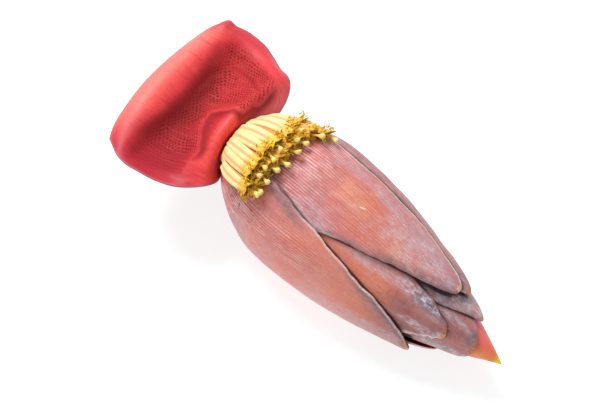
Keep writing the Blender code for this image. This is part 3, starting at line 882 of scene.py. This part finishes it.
def bent_bract():
    rows, columns = 228, 200
    run, v, face, half_width = fold_surface(rows, columns)
    total = float(run[-1, 0])
    across = half_width * v
    side = np.abs(v)
    wob_v = v + 0.012 * wander(31, across, run, 15.0)
    wob_run = run + 0.8 * wander(30, across, run, 17.0)
    crease = looked_up(CREASE, wob_v)
    s = line_distance(PLAN_WIDTH * wob_v, wob_run, [(PLAN_WIDTH * c[0], c[1]) for c in CREASE])
    s = s * np.sign(wob_run - crease)
    crest = looked_up(CREST, v)
    climb = np.clip((crease - run) / np.maximum(crease - crest, 3.0), 0, 2)
    q = line_distance(PLAN_WIDTH * wob_v, wob_run, [(PLAN_WIDTH * c[1], c[0]) for c in STEP])
    q = q * np.sign(wob_v - looked_up(STEP, wob_run))
    middle = 1 - smooth(0.62, 0.80, side)
    foot = ROLL_FOOT + 12.0 * v ** 2
    inside = (1 - smooth(0.60, 0.90, v)) * (1 - smooth(0.78, 0.97, -v))
    dish = smooth(-1.0, 14.0, s) * (1 - smooth(foot - 14, foot + 4, run)) * inside
    out = -3.6 * dish
    valley = smooth(-2.0, 5.0, -s) * (1 - smooth(0.15, 1.0, climb)) * middle
    out = out - 1.0 * valley + 0.8 * bell(s - 5.0, 5.0) * middle
    out = out + 1.0 * bell(run - crest - 2, 8.0) * (1 - smooth(0.75, 0.95, side))
    raised = smooth(14, 24, run) * (1 - smooth(66, 74, run)) * smooth(0.02, 0.2, v)
    out = out + 0.8 * bell(np.minimum(q, 0), 7.0) * (1 - smooth(0.0, 6.0, q)) * raised
    out = out - 0.6 * bell(q - 5.0, 3.0) * raised
    rim = smooth(22, 36, run) * (1 - smooth(ROLL_FOOT - 16, ROLL_FOOT + 6, run))
    out = out + 1.2 * rim * bell(v - 0.84, 0.12) + 2.2 * rim * smooth(0.90, 1.0, -v)
    out = out - 2.4 * smooth(0.88, 1.0, v) ** 1.5 * smooth(16, 34, run) * (1 - 0.6 * smooth(80, 104, run))
    # arcs near the two rims
    arc_zone = dish * smooth(0.52, 0.66, -v) + 0.7 * dish * smooth(0.60, 0.74, v)
    arcs = np.sin(2 * np.pi * (across + 0.9 * wander(37, across, run, 26.0)) / ARC_PITCH)
    out = out + 0.22 * arcs * np.clip(arc_zone, 0, 1)
    # pits in rows, each row half a pit further along than the last
    row = (across + 0.7 * wander(32, across, run, 14.0)) / PIT_ACROSS
    brick = (run + 1.0 * wander(33, across, run, 15.0)) / PIT_ALONG + 0.5 * np.floor(row + 0.5)
    size = 0.5 * (np.cos(2 * np.pi * row) + np.cos(2 * np.pi * brick)) + 0.16 * wander(38, across, run, 7.0)
    pit = smooth(0.02, 0.50, size)
    net = smooth(-0.5, 3.5, s) * (1 - smooth(foot - 13, foot - 1, run)) * (1 - smooth(0.70, 0.84, v))
    net = net * (1 - smooth(0.80, 0.94, -v))
    holes = net * np.clip(0.85 + 0.5 * wander(34, across, run, 20.0), 0.3, 1)
    holes = holes * (1 - 0.7 * smooth(0.60, 0.72, -v))
    out = out - 0.35 * pit * holes
    out = out + 0.45 * wander(36, across, run, 44.0)
    out = out * smooth(0, 9, run)
    # the plain sheet, smoothed along its run, with its rims swung out and a peak at the far corner
    for _ in range(SMOOTHING_PASSES):
        face[1:-1] = (face[:-2] + 2 * face[1:-1] + face[2:]) / 4
    swing = eased(RIM_FAR, run) * smooth(0.35, 1.0, v) - eased(RIM_NEAR, run) * smooth(0.35, 1.0, -v)
    sideways = np.gradient(face, axis=1)
    sideways = sideways / np.linalg.norm(sideways, axis=-1, keepdims=True)
    peak = bell(run - 93.0, 6.0) * smooth(0.80, 1.0, v)
    face = face + sideways * swing[..., None] + peak[..., None] * PEAK_REACH
    normal = grid_normals(face)
    edge = np.minimum((1 - side) * half_width, total - run)
    thin = FOLD_THICKNESS * rounded(edge, 1.4, 0.08)
    fine = face + normal * (out[..., None] + FOLD_THICKNESS)
    back = face + normal * (lowest_near(out, 3) + FOLD_THICKNESS - thin)[..., None]
    points, quads = sheet(fine, back)
    # painted shadow: a dark band along the foot of the roll, where the roll shades the dish
    band = run - (ROLL_FOOT - 6.0 + 22.0 * v ** 2)
    fall_shadow = bell(band, np.where(band > 0, 9.0, 14.0)) * (1 - 0.8 * smooth(0.25, 0.8, v))
    # painted shade in the hollows: the low side of the dish, the dish itself and the valley beyond the crease
    hollow_side_shade = smooth(0.70, 0.95, -v) * smooth(30, 50, run) * (1 - smooth(84, 100, run))
    deep = dish * (1 - smooth(-0.25, 0.25, v)) * 0.50 + dish * 0.25 + 0.9 * valley
    # painted shadow along the crease, where the ridge beside the flowers hangs over the dish
    seam_shadow = bell(s + 1.5, 2.0 + 2.4 * (s < -1.5)) * middle
    fields = {
        # painted shade: the pits near black, and the pitted net of the dish a darker red
        "pit": pit * holes,
        "net": net,
        "lines": across / PIT_ACROSS,
        "run": run,
        # painted shadow at the foot of the roll
        "fall_shadow": fall_shadow * (1 - smooth(0.55, 0.9, -v)),
        # painted shade in the hollows of the dish
        "deep": np.clip(deep + 0.45 * hollow_side_shade, 0, 1),
        # painted highlight on the crest of the ridge and on the top of the roll
        "lip_highlight": np.clip(bell(run - crest - 3, 8.0) + bell(run - ROLL_TOP, 12.0), 0, 1),
        # painted shadow beside the crease and beside the step of the raised part
        "crease": np.maximum(seam_shadow, 0.6 * bell(q - 3.6, 2.0) * raised),
        "rim": (1 - smooth(2.0, 16.0, (1 - side) * half_width)) * smooth(14, 34, run),
        # painted highlight on the top of the roll
        "glow": bell(run - ROLL_TOP - 2.0, 9.0) * (1 - smooth(0.7, 1.0, side)),
        "hem": 1 - smooth(0.4, 2.2, edge),
        "cool": smooth(0.30, 0.95, -v) * smooth(20, 40, run),
        # painted shade in the grooves between the arcs
        "arcs": np.clip(0.5 - 0.5 * arcs, 0, 1) * np.clip(arc_zone, 0, 1),
        "root": 1 - smooth(1.0, 9.0, run),
    }
    obj = mesh_object("bract_open_skin", points, [quads], on_both_faces(fields, "back"), bent_paint())
    dress(obj, "bract_open")


def bent_paint():
    """The bent bract: crimson with a painted highlight on its lip and roll, painted shade in its pits,
    grooves and hollows, painted shadow at the foot of the roll and along the crease, and a mauve outer face
    behind.
    """
    p = Paint("skin_bract_open", roughness=0.5, specular=0.26)
    cloud = p.noise(40.0, 4.0, 0.6)
    grain = p.noise(1100.0, 3.0, 0.6)
    mottle = p.noise(260.0, 5.0, 0.7)
    streak = p.streaks("lines", "run", 0.8, 0.03, 4.0, 2.0)
    thread = p.streaks("lines", "run", 2.6, 0.08, 4.0, 8.0)
    fine = p.waves("lines", p.times(streak, 5.0))
    outer = p.layers(
        p.mix(p.ramp(cloud, 0.35, 0.65), MAUVE, BLOOM),
        (p.times(p.ramp(fine, 0.4, 0.1), 0.4), VEIN_RED),
        (p.times(p.ramp(fine, 0.7, 0.95), 0.4), VEIN_PALE),
        (p.ramp(streak, 0.50, 0.72, 0.0, 0.4), tone(168, 92, 96)),
    )
    colour = p.layers(
        p.mix(p.ramp(cloud, 0.3, 0.7), tone(232, 60, 66), tone(212, 46, 56)),
        # painted highlight on the crest of the ridge and on the top of the roll
        (p.field("lip_highlight", 0.8), tone(254, 88, 84)),
        # painted highlight on the top of the roll
        (p.field("glow", 0.8), tone(255, 132, 120)),
        (p.field("rim", 0.6), tone(204, 70, 84)),
        # painted shade over the pitted net of the dish
        (p.field("net", 0.8), tone(204, 52, 52)),
        # painted shade in the hollows of the dish
        (p.field("deep", 0.85), tone(150, 18, 26)),
        (p.ramp(streak, 0.52, 0.72, 0.0, 0.35), tone(164, 20, 30)),
        (p.ramp(streak, 0.46, 0.28, 0.0, 0.22), tone(252, 104, 100)),
        (p.ramp(thread, 0.52, 0.70, 0.0, 0.24), tone(168, 22, 34)),
        (p.ramp(thread, 0.46, 0.30, 0.0, 0.16), tone(255, 122, 116)),
        (p.ramp(mottle, 0.5, 0.7, 0.0, 0.20), tone(150, 20, 26)),
        # painted shadow at the foot of the roll
        (p.field("fall_shadow", 0.86), tone(116, 4, 6)),
        # painted shade in the grooves between the arcs
        (p.field("arcs", 0.60), tone(112, 12, 22)),
        # painted shade in the pits
        (p.field("pit", 0.95), tone(80, 2, 10)),
        # painted shadow along the crease and the step
        (p.field("crease", 0.70), tone(122, 6, 10)),
        (p.field("root", 0.45), tone(150, 30, 20)),
        (p.field("cool", 0.55), tone(172, 26, 50)),
        (p.field("hem", 0.7), tone(190, 104, 122)),
        (p.ramp(grain, 0.35, 0.7, 0.0, 0.14), tone(130, 14, 22)),
        (p.field("back"), outer),
    )
    height = p.sums("SUBTRACT", p.weighed((thread, 0.35), (grain, 0.15), (streak, 0.4)), p.field("pit", 0.8))
    rough = p.ramp(p.plus(p.field("net"), p.field("crease")), 0.0, 1.0, 0.46, 0.78)
    return p.finish(colour, p.bump(height, 0.45, 0.0005), rough)


# ---------------------------------------------------------------- the heart and the stem


def fine_heart():
    """The rolled inner bracts: a turned cone with one low spiral edge near its tip."""
    sides, rows = 144, 120
    w = np.linspace(0.004, 0.9985, rows)[:, None] + np.zeros(sides)[None, :]
    t = 2 * np.pi * np.arange(sides)[None, :] / sides + 0 * w
    x = station(w)
    r = radius(w)
    spiral = np.mod(t / (2 * np.pi) * 1.0 + (x - 200) / 70.0, 1.0)
    step = 0.55 * (1 - smooth(0.0, 0.10, spiral)) * smooth(190, 205, x) * (1 - smooth(236, 243, x))
    vein = t / (2 * np.pi) * 60
    r = r + step + 0.05 * np.sin(2 * np.pi * vein) * smooth(0, 4, r)
    rings = np.stack([x, r * np.sin(t), r * np.cos(t)], -1)
    points, quads, tris = capped(rings, [0.0, 0.0, 0.0], [HEART_LENGTH, 0.0, 0.0])
    angle = (np.degrees(t) + 180) % 360 - 180
    low_side = spot(x, angle, 236, -75, 18, 60) * smooth(216, 228, x)
    fields = {
        "along": np.concatenate([x.ravel(), [0.0, HEART_LENGTH]]),
        "band": np.concatenate([low_side.ravel(), [0.0, 1.0]]),
        "vein": np.concatenate([vein.ravel(), [0.0, 0.0]]),
    }
    obj = mesh_object("heart_skin", points, [quads, tris[:, [0, 2, 1]]], fields, heart_paint())
    dress(obj, "heart")


def heart_paint():
    p = Paint("skin_heart", roughness=0.36, specular=0.5, coat=0.1)
    along = p.field("along")
    cloud = p.noise(70.0, 4.0, 0.6)
    grain = p.noise(900.0, 3.0, 0.6)
    fine = p.waves("vein", p.times(p.noise(50.0, 2.0), 3.0))
    colour = p.layers(
        p.mix(p.ramp(cloud, 0.3, 0.7), tone(246, 118, 106), tone(236, 102, 98)),
        (p.ramp(along, 226.0, 240.0), tone(246, 132, 62)),
        (p.field("band", 0.9), tone(248, 150, 84)),
        (p.ramp(along, 236.5, 241.5), tone(250, 222, 30)),
        (p.times(p.ramp(fine, 0.4, 0.1), 0.22), tone(186, 44, 50)),
        (p.times(p.ramp(grain, 0.4, 0.7), 0.10), tone(170, 50, 50)),
    )
    return p.finish(colour, p.bump(p.plus(fine, grain), 0.25, 0.0004))


def fine_stem():
    """The stem stub: a swollen end with a fibrous cut, a scar ring and a plain neck."""
    sides = 96
    # distance from the cut end and radius, then the same from the bud
    cut_end = [(0.9, 0.0), (0.7, 3.0), (0.2, 6.0), (0, 9.0), (0, 12.6), (0.5, 13.4), (2.5, 13.7), (8, 13.4),
               (11, 13.0), (13, 12.0), (15, 11.2), (20, 11.0)]
    bud_end = [(4, 11.0), (0, 11.0), (0, 5.0), (0, 0.0)]
    profile = [(-STEM_BACK + x, r) for x, r in cut_end] + [(-STEM_GAP - x, r) for x, r in bud_end]
    line = spline(profile, np.linspace(0, 1, 90))
    turn = 2 * np.pi * np.arange(sides)[None, :] / sides + 0 * line[:, :1]
    x = line[:, :1] + 0 * turn
    r = np.maximum(line[:, 1:], 0.02) + 0 * turn
    flank = smooth(9.5, 11.0, r)
    grain = 0.22 * np.sin(17 * turn + 0.4 * np.sin(x / 4)) + 0.25 * wander(61, x * 1.5, turn * 12, 9.0)
    r = r + flank * grain
    scar = np.exp(-((x + STEM_BACK - 12.5) / 1.1) ** 2)
    r = r - 0.5 * scar * flank
    behind = x < -STEM_BACK / 2
    x = x + (1 - flank) * (0.18 * wander(62, r * np.cos(turn), r * np.sin(turn), 4.0)) * behind
    points = np.stack([x, r * np.sin(turn), r * np.cos(turn)], -1).reshape(-1, 3)
    n = len(line)
    k = np.arange(sides)
    faces = [wrap_quads(n, sides)[:, ::-1], k[None, :], (n - 1) * sides + k[None, ::-1]]
    fields = {
        "cut": (1 - flank) * (x < -STEM_BACK / 2),
        "ring": r / 2.1,
        "scar": scar * flank,
        "fibre": turn / (2 * np.pi) * 48,
    }
    dress(mesh_object("rachis_skin", points, faces, fields, stem_paint()), "rachis")


def stem_paint():
    p = Paint("skin_rachis", roughness=0.55, specular=0.4)
    cloud = p.noise(120.0, 4.0, 0.6)
    grain = p.noise(1000.0, 3.0, 0.6)
    fine = p.waves("fibre", p.times(p.noise(90.0, 2.0), 4.0))
    side = p.layers(
        p.mix(p.ramp(cloud, 0.3, 0.7), tone(150, 152, 92), tone(128, 118, 84)),
        (p.times(p.ramp(fine, 0.45, 0.1), 0.5), tone(104, 84, 62)),
        (p.field("scar"), tone(96, 70, 52)),
    )
    dots = p.new("ShaderNodeTexVoronoi")
    dots.inputs["Scale"].default_value = 620.0
    p.plug(dots.inputs["Vector"], p.where)
    pith = dots.outputs["Distance"]
    cut = p.mix(p.ramp(pith, 0.15, 0.42), tone(150, 112, 62), tone(226, 208, 160))
    cut = p.mix(p.ramp(p.waves("ring"), 0.5, 0.9, 0.0, 0.3), cut, tone(176, 140, 92))
    height = p.plus(p.plus(fine, grain), pith)
    return p.finish(p.mix(p.field("cut"), side, cut), p.bump(height, 0.4, 0.0006))


# ---------------------------------------------------------------- the flowers

# curled golden lobes of one flower
RIBBONS = 34


def hand_frame(w, angle, height):
    a = math.radians(angle)
    point = place(np.array(w), np.array(float(angle)), np.array(height))
    y_dir = np.array([0.0, math.cos(a), -math.sin(a)])
    nx = float(np.interp(w, W_LINE, NX_LINE))
    nr = float(np.interp(w, W_LINE, NR_LINE))
    return point, y_dir, np.array([nx, nr * math.sin(a), nr * math.cos(a)])


def tepal_tube(heap, path, ahead, half_w, half_d, rng, upper):
    """The folded tepals of one flower: a ribbed tube with a squared base, open and frilled at its mouth.

    Gives back the ring of points along the rim of its mouth."""
    sides = 44
    t = 2 * np.pi * np.arange(sides) / sides
    phase = rng.uniform(0, 2 * math.pi)
    centres, y_dirs, z_dirs = (np.array([q[k] for q in path]) for k in range(3))
    n = len(path)
    ridge = 0.085 * np.cos(5 * t + phase) + 0.03 * np.cos(11 * t + 2 * phase)
    lobes = np.abs(np.cos(2.5 * t + phase)) ** 0.8
    flat = (np.abs(np.cos(t)) ** 2.8 + np.abs(np.sin(t)) ** 2.8) ** (-1 / 2.8)
    # each row: a ring of points, how golden it is, how grooved, how hollow
    rows = []

    def ring(centre, y_dir, z_dir, a, b, ribbed):
        shape = 1 + ridge * ribbed
        return (centre[None, :] + (a * flat * np.cos(t) * shape)[:, None] * y_dir[None, :]
                + (b * flat * np.sin(t) * shape)[:, None] * z_dir[None, :])

    base = centres[0] - ahead * 0.2
    rows.append((ring(base, y_dirs[0], z_dirs[0], half_w * 0.35, half_d * 0.35, 0.0), 0.0, 0.3, 0.0))
    for i, s in enumerate(np.linspace(0, 1, n)):
        grow = 0.84 + 0.20 * smooth(0.0, 0.35, s) - 0.10 * smooth(0.55, 1.0, s)
        outline = ring(centres[i], y_dirs[i], z_dirs[i], half_w * grow, half_d * grow, 0.6 + 0.9 * s)
        rows.append((outline, 0.60 * float(smooth(0.58, 0.92, s)), 1.0, 0.0))
    # the frill of the mouth, which bends outwards
    frill_out = rng.uniform(1.8, 3.6)
    frill_far = rng.uniform(3.0, 5.0)
    rag = np.array([rng.uniform(0.65, 1.25) for _ in range(sides)])
    rag = (rag + np.roll(rag, 1) + np.roll(rag, -1)) / 3
    reach = (lobes * rag)[:, None]
    mouth = ring(centres[-1], y_dirs[-1], z_dirs[-1], half_w * 0.94, half_d * 0.94, 1.5)
    radial = mouth - centres[-1][None, :]
    radial = radial / np.linalg.norm(radial, axis=1, keepdims=True)
    frill_rows = 7
    for q in range(1, frill_rows + 1):
        f = q / frill_rows
        frill = mouth + ahead[None, :] * (frill_far * f * reach) + radial * (frill_out * f * f * reach)
        frill = frill + radial * (0.35 * math.sin(9 * f)) * np.sin(7 * t + phase)[:, None]
        rows.append((frill, 0.65 + 0.35 * f, 1.0 - f, 0.0))
    # the same way back on its inner side, then down into the tube
    # the hollow value darkens the inner side and the inside of the tube: painted shade
    rim = len(rows) - 1
    for q in range(1, 6):
        f = q / 5
        rows.append((rows[rim + 1 - q][0] - radial * (0.45 + 0.25 * f), 1.0 - 0.3 * f, 0.0, 0.55 * f))
    for q, depth in enumerate((2.0, 6.0, 10.0)):
        wide, deep = half_w * (0.74 - 0.1 * q), half_d * (0.70 - 0.1 * q)
        rows.append((ring(centres[-1] - ahead * depth, y_dirs[-1], z_dirs[-1], wide, deep, 0.5),
                     0.4, 0.0, 0.8 + 0.1 * q))
    grid, tip, groove, hollow = (np.array([row[k] for row in rows]) for k in range(4))
    valley = np.clip(0.5 - 0.5 * np.cos(5 * t + phase) + 1.0 * np.abs(np.cos(t)) ** 5, 0, 1)
    fields = {
        "tip": np.concatenate([np.repeat(tip, sides), [0.0, 0.4]]),
        "hollow": np.concatenate([np.repeat(hollow, sides), [0.0, 1.0]]),
        "groove": np.concatenate([(groove[:, None] * valley[None, :]).ravel(), [0.0, 0.0]]),
        "shade": np.concatenate([np.full(grid.shape[0] * sides, 0.0 if upper else 1.0), [0.0, 0.0]]),
    }
    heap.add(*capped(grid, base - ahead * 0.3, grid[-1].mean(0)), fields)
    return grid[rim]


def curl_ribbon(heap, start, way, side, rng, length, width):
    """A little curled lobe: a flat strip whose direction turns as it goes."""
    count = 12
    centres, y_dirs, z_dirs, across, up, tip = [], [], [], [], [], []
    turn = rng.uniform(-1, 1) * 3.4
    roll = rng.uniform(-1.6, 1.6)
    p = np.array(start, float)
    d = unit(np.array(way, float))
    y = unit(np.cross(d, side))
    for i in range(count):
        f = i / (count - 1)
        z = np.cross(d, y)
        centres.append(p)
        y_dirs.append(y)
        z_dirs.append(z)
        across.append(width * (1 - 0.55 * f) * (1 + 0.25 * math.sin(7 * f + roll)))
        up.append(0.24 * (1 - 0.3 * f))
        tip.append(0.6 + 0.4 * f)
        bend = turn / count * (0.3 + 1.4 * f)
        d = d * math.cos(bend) + z * math.sin(bend)
        twist = roll / count
        y = y * math.cos(twist) + np.cross(d, y) * math.sin(twist)
        y = unit(y - d * np.dot(y, d))
        p = p + d * length / count
    none = [0.0] * count
    fields = {"tip": tip, "hollow": none, "groove": none, "shade": [rng.uniform(0, 0.4)] * count}
    heap.tube(centres, y_dirs, z_dirs, across, up, 8, fields)


def stigma(heap, point, way, cross, rise, length, rng):
    """The style: a thin neck and a lobed club at its end."""
    sides = 24
    t = 2 * np.pi * np.arange(sides) / sides
    # distance and radius along the neck, then from the end of the style along the club
    neck = [(-4.0, 0.9), (-1.0, 0.85), (1.5, 0.8)]
    club_shape = [(-5.0, 0.75), (-3.8, 0.85), (-2.6, 1.1), (-1.4, 1.5), (-0.2, 1.85), (0.8, 1.95), (1.4, 1.8),
                  (1.9, 1.3), (2.1, 0.6)]
    bend = rng.uniform(-1.4, 1.4)
    drop = rng.uniform(-0.6, 1.2)
    lobes = rng.choice((5, 6))
    rings = []
    head = []
    for s, r in neck + [(length + s, r) for s, r in club_shape]:
        f = max(s, 0) / length
        centre = point + way * s + cross * bend * f * f + rise * drop * f * f
        club = smooth(length - 3.0, length + 1.0, s)
        lobed = r * (1 + 0.10 * club * np.cos(lobes * t))
        rings.append(centre[None, :] + (lobed * np.cos(t))[:, None] * cross[None, :]
                     + (lobed * np.sin(t))[:, None] * rise[None, :])
        head.append(float(club))
    grid = np.array(rings)
    fields = {"head": np.concatenate([np.repeat(head, sides), [0.0, 1.0]])}
    heap.add(*capped(grid, grid[0].mean(0), grid[-1].mean(0) - way * 0.3), fields)


def flower_path(angle, lean, first, last, base_height, tip_height, arch):
    """Points along the middle of a flower, each with the sideways and outward directions there."""
    path = []
    for s in np.linspace(0, 1, 16):
        w = first + (last - first) * s
        a = angle + lean * s
        top = float(height_under("", np.array(w), np.array(a)))
        rise = base_height + (tip_height - base_height) * s + arch * math.sin(math.pi * s)
        path.append(hand_frame(w, a, top + rise))
    return path


def fine_flowers():
    """The hand: both rows of flowers, each with tepals, a style and curled lobes, and their cushion."""
    rng = random.Random(SEED)
    more = random.Random(SEED + 100)
    tepals, frills, stigmas = Heap(), Heap(), Heap()
    middle = (HAND_FROM + HAND_TO) / 2
    spread = (HAND_TO - HAND_FROM) / 2
    for row, count in ((0, LOWER_COUNT), (1, UPPER_COUNT)):
        for k in range(count):
            share = (k + (0.15 if row else 0.5)) / (count - 0.5)
            angle = HAND_FROM + 2 * spread * share + rng.uniform(-1.0, 1.0)
            off = (angle - middle) / spread
            reach = FLOWER_REACH - FLOWER_REACH_DROP * off * off + rng.uniform(-1.5, 1.5)
            lean = 2.5 * off * off - 2.0 * off + 0.5
            droop = HAND_DROOP * max(0.0, -off) ** 4
            if row == 0:
                tip_x = reach + droop + 3.0 + HAND_TRAIL * max(0.0, off) ** 4
                base_height, tip_height = 3.2, 4.0
            else:
                settle = HAND_SETTLE * float(smooth(0.1, 1.0, off))
                tip_x = reach + droop - 2.5
                base_height, tip_height = 6.0 - settle, 8.2 - settle
            first = float(share_at(FLOWER_ROOT_X + droop - 1.0 + (0.0 if row else 2.0)))
            last = float(share_at(tip_x))
            path = flower_path(angle, lean, first, last, base_height, tip_height, 1.2 if row else 0.0)
            point, y_dir, z_dir = path[-1]
            ahead = unit(point - path[-3][0])
            width = FLOWER_WIDTH / 2 * (0.98 if row else 0.9)
            depth = FLOWER_DEPTH / 2 * (1.12 if row else 0.95)
            rim = tepal_tube(tepals, path, ahead, width, depth, more, row == 1)
            # the solid's two lobes draw here, so that the styles of both scripts swing alike
            for _ in range(2):
                rng.uniform(0.2, 0.9)
            swing = y_dir * rng.uniform(-0.25, 0.25) + z_dir * rng.uniform(-0.05, 0.2)
            way = unit(ahead + swing)
            cross = unit(np.cross(way, z_dir))
            rise = np.cross(cross, way)
            length = STYLE_LENGTH * rng.uniform(0.8, 1.15)
            stigma(stigmas, point, way, cross, rise, length + more.uniform(-1.0, 1.5), more)
            for _ in range(RIBBONS):
                start = rim[more.randrange(len(rim))]
                out = start - point
                out = out - ahead * np.dot(out, ahead)
                out = out / max(np.linalg.norm(out), 1e-6)
                start = start - out * 0.3 - ahead * more.uniform(0.0, 8.5)
                heading = ahead * more.uniform(0.1, 1.0) + out * more.uniform(0.1, 1.0)
                heading = heading + z_dir * more.uniform(-0.2, 0.4)
                curl_ribbon(frills, start, heading, y_dir + 0.3 * z_dir, more, more.uniform(2.5, 6.0),
                            more.uniform(0.4, 1.0))
            if k == 0:
                curl_ribbon(frills, point - ahead * 2.0, ahead + 0.1 * z_dir, y_dir, more, 15.0, 1.5)
    pieces = [
        tepals.build("flower_hand_tepals", flower_paint("tepals", 0.0)),
        frills.build("flower_hand_frills", flower_paint("frills", 1.0)),
        stigmas.build("flower_hand_stigmas", stigma_paint()),
        fine_cushion(),
    ]
    for piece in pieces:
        dress(piece, "flower_hand")


def fine_cushion():
    """The pad from which the flowers grow, with one bump for each of them."""
    rows, columns = 24, 90
    shares = np.linspace(float(share_at(3.5)), float(share_at(FLOWER_ROOT_X + 9.0)), rows)
    w = shares[:, None] + np.zeros(columns)[None, :]
    angle = np.linspace(HAND_FROM - 3, HAND_TO + 3, columns)[None, :] + 0 * w
    low = height_under("", w, angle) + 0.3
    swell = np.sin(np.linspace(0.35, math.pi - 0.35, rows))[:, None]
    bumps = 0.5 * np.sin(np.radians(angle) * 36)
    points, quads = sheet(place(w, angle, low + 1.0 + (4.4 + bumps) * swell), place(w, angle, low))
    zeros = np.zeros(len(points))
    fields = {"tip": zeros, "hollow": zeros, "groove": zeros + 0.3, "shade": zeros + 0.6}
    return mesh_object("flower_hand_cushion", points, [quads], fields, flower_paint("cushion", 0.0))


def soft_paint(name, roughness, sheen, glow, radius_mm):
    """A paint with light passing a little way under the skin."""
    p = Paint(name, roughness=roughness, specular=0.45, sheen=sheen)
    p.shader.inputs["Subsurface Weight"].default_value = glow
    p.shader.inputs["Subsurface Radius"].default_value = radius_mm
    p.shader.inputs["Subsurface Scale"].default_value = 0.002
    return p


def flower_paint(name, ragged):
    """Cream tepals with darker grooves, golden and spotted towards their tips, with painted shade inside
    their mouths.
    """
    p = soft_paint("flower_" + name, 0.45, 0.05, 0.12, (0.6, 0.3, 0.1))
    cloud = p.noise(180.0, 4.0, 0.6)
    streak = p.noise(1.0, 4.0, 0.6, (60.0, 900.0, 900.0), math.radians(-NOSE_DOWN))
    spots = p.noise(900.0, 3.0, 0.5)
    gold = p.mix(p.ramp(cloud, 0.4, 0.6), tone(250, 204, 16), tone(222, 164, 6))
    dark = p.times(p.ramp(spots, 0.50, 0.68), p.ramp(p.field("tip"), 0.5, 0.9))
    colour = p.layers(
        p.mix(p.ramp(cloud, 0.3, 0.7), tone(251, 226, 166), tone(248, 214, 146)),
        (p.times(p.ramp(p.field("groove"), 0.45, 1.0), 0.8), tone(234, 158, 104)),
        (p.ramp(streak, 0.5, 0.72, 0.0, 0.35), tone(240, 190, 120)),
        (p.ramp(p.field("tip"), 0.25, 0.75), gold),
        (p.times(dark, 0.85), tone(92, 70, 16)),
        # painted shade inside the mouths of the tubes
        (p.field("hollow", 0.8), tone(150, 108, 22)),
        (p.field("shade", 0.3), tone(196, 140, 50)),
    )
    height = p.weighed((streak, 0.6), (spots, 0.3 + 0.3 * ragged))
    return p.finish(colour, p.bump(height, 0.4, 0.0005))


def stigma_paint():
    p = soft_paint("flower_stigmas", 0.4, 0.0, 0.15, (0.6, 0.4, 0.2))
    grain = p.noise(1500.0, 3.0, 0.6)
    colour = p.layers(
        tone(240, 200, 92),
        (p.field("head"), tone(255, 228, 140)),
        (p.times(p.ramp(grain, 0.45, 0.75), 0.35), tone(222, 184, 92)),
    )
    return p.finish(colour, p.bump(grain, 0.5, 0.0004))


# ---------------------------------------------------------------- light, floor and camera

WHITE = (1.0, 1.0, 1.0, 1.0)
FLOOR_REACH = 6.0
FLOOR_GLOW = 0.71
SKY_STRENGTH = 0.55
WINDOW_PLACE = Vector((-0.85, 0.15, 1.40))
WINDOW_AIM = Vector((0.0, 0.0, 0.05))
WINDOW_SIZE = 0.9
WINDOW_WATTS = 25.0
CAMERA_AZIMUTH = 43.0
CAMERA_ELEVATION = 55.0
# from the tip of the bud to the camera, in metres
CAMERA_FROM_TIP = Vector((0.25029, -0.46520, 0.92130))


def stage():
    size = FLOOR_REACH
    mesh = bpy.data.meshes.new("floor")
    corners = [(-size, -size, 0), (size, -size, 0), (size, size, 0), (-size, size, 0)]
    mesh.from_pydata(corners, [], [(0, 1, 2, 3)])
    p = Paint("floor", roughness=0.9, specular=0.1)
    p.shader.inputs["Emission Color"].default_value = WHITE
    p.shader.inputs["Emission Strength"].default_value = FLOOR_GLOW
    colour = p.mix(p.ramp(p.noise(3.0), 0.3, 0.7), tone(170, 181, 181), tone(176, 186, 186))
    mesh.materials.append(p.finish(colour))
    floor = bpy.data.objects.new("floor", mesh)
    bpy.context.scene.collection.objects.link(floor)
    world = bpy.data.worlds.new("studio")
    world.use_nodes = True
    world.node_tree.nodes["Background"].inputs["Color"].default_value = WHITE
    world.node_tree.nodes["Background"].inputs["Strength"].default_value = SKY_STRENGTH
    bpy.context.scene.world = world
    lamp = bpy.data.lights.new("window", "AREA")
    lamp.shape = "DISK"
    lamp.size = WINDOW_SIZE
    lamp.energy = WINDOW_WATTS
    obj = bpy.data.objects.new("window", lamp)
    obj.location = WINDOW_PLACE
    obj.rotation_euler = (WINDOW_PLACE - WINDOW_AIM).to_track_quat("Z", "Y").to_euler()
    bpy.context.scene.collection.objects.link(obj)


def camera():
    azimuth, elevation = math.radians(CAMERA_AZIMUTH), math.radians(CAMERA_ELEVATION)
    back = Vector((math.sin(azimuth) * math.cos(elevation), -math.cos(azimuth) * math.cos(elevation),
                   math.sin(elevation)))
    data = bpy.data.cameras.new("camera")
    data.lens = 90.0
    data.sensor_width = 36.0
    data.clip_end = 30.0
    obj = bpy.data.objects.new("camera", data)
    tip = Vector(tip_over(np.array([HEART_LENGTH, 0.0, 0.0])) + OFFSET) * MM
    obj.location = tip + CAMERA_FROM_TIP
    obj.rotation_euler = back.to_track_quat("Z", "Y").to_euler()
    bpy.context.scene.collection.objects.link(obj)
    bpy.context.scene.camera = obj
    bpy.context.scene.view_settings.view_transform = "Standard"


for bract_name in BRACTS:
    fine_bract(bract_name)
bent_bract()
fine_heart()
fine_stem()
fine_flowers()
stage()
camera()
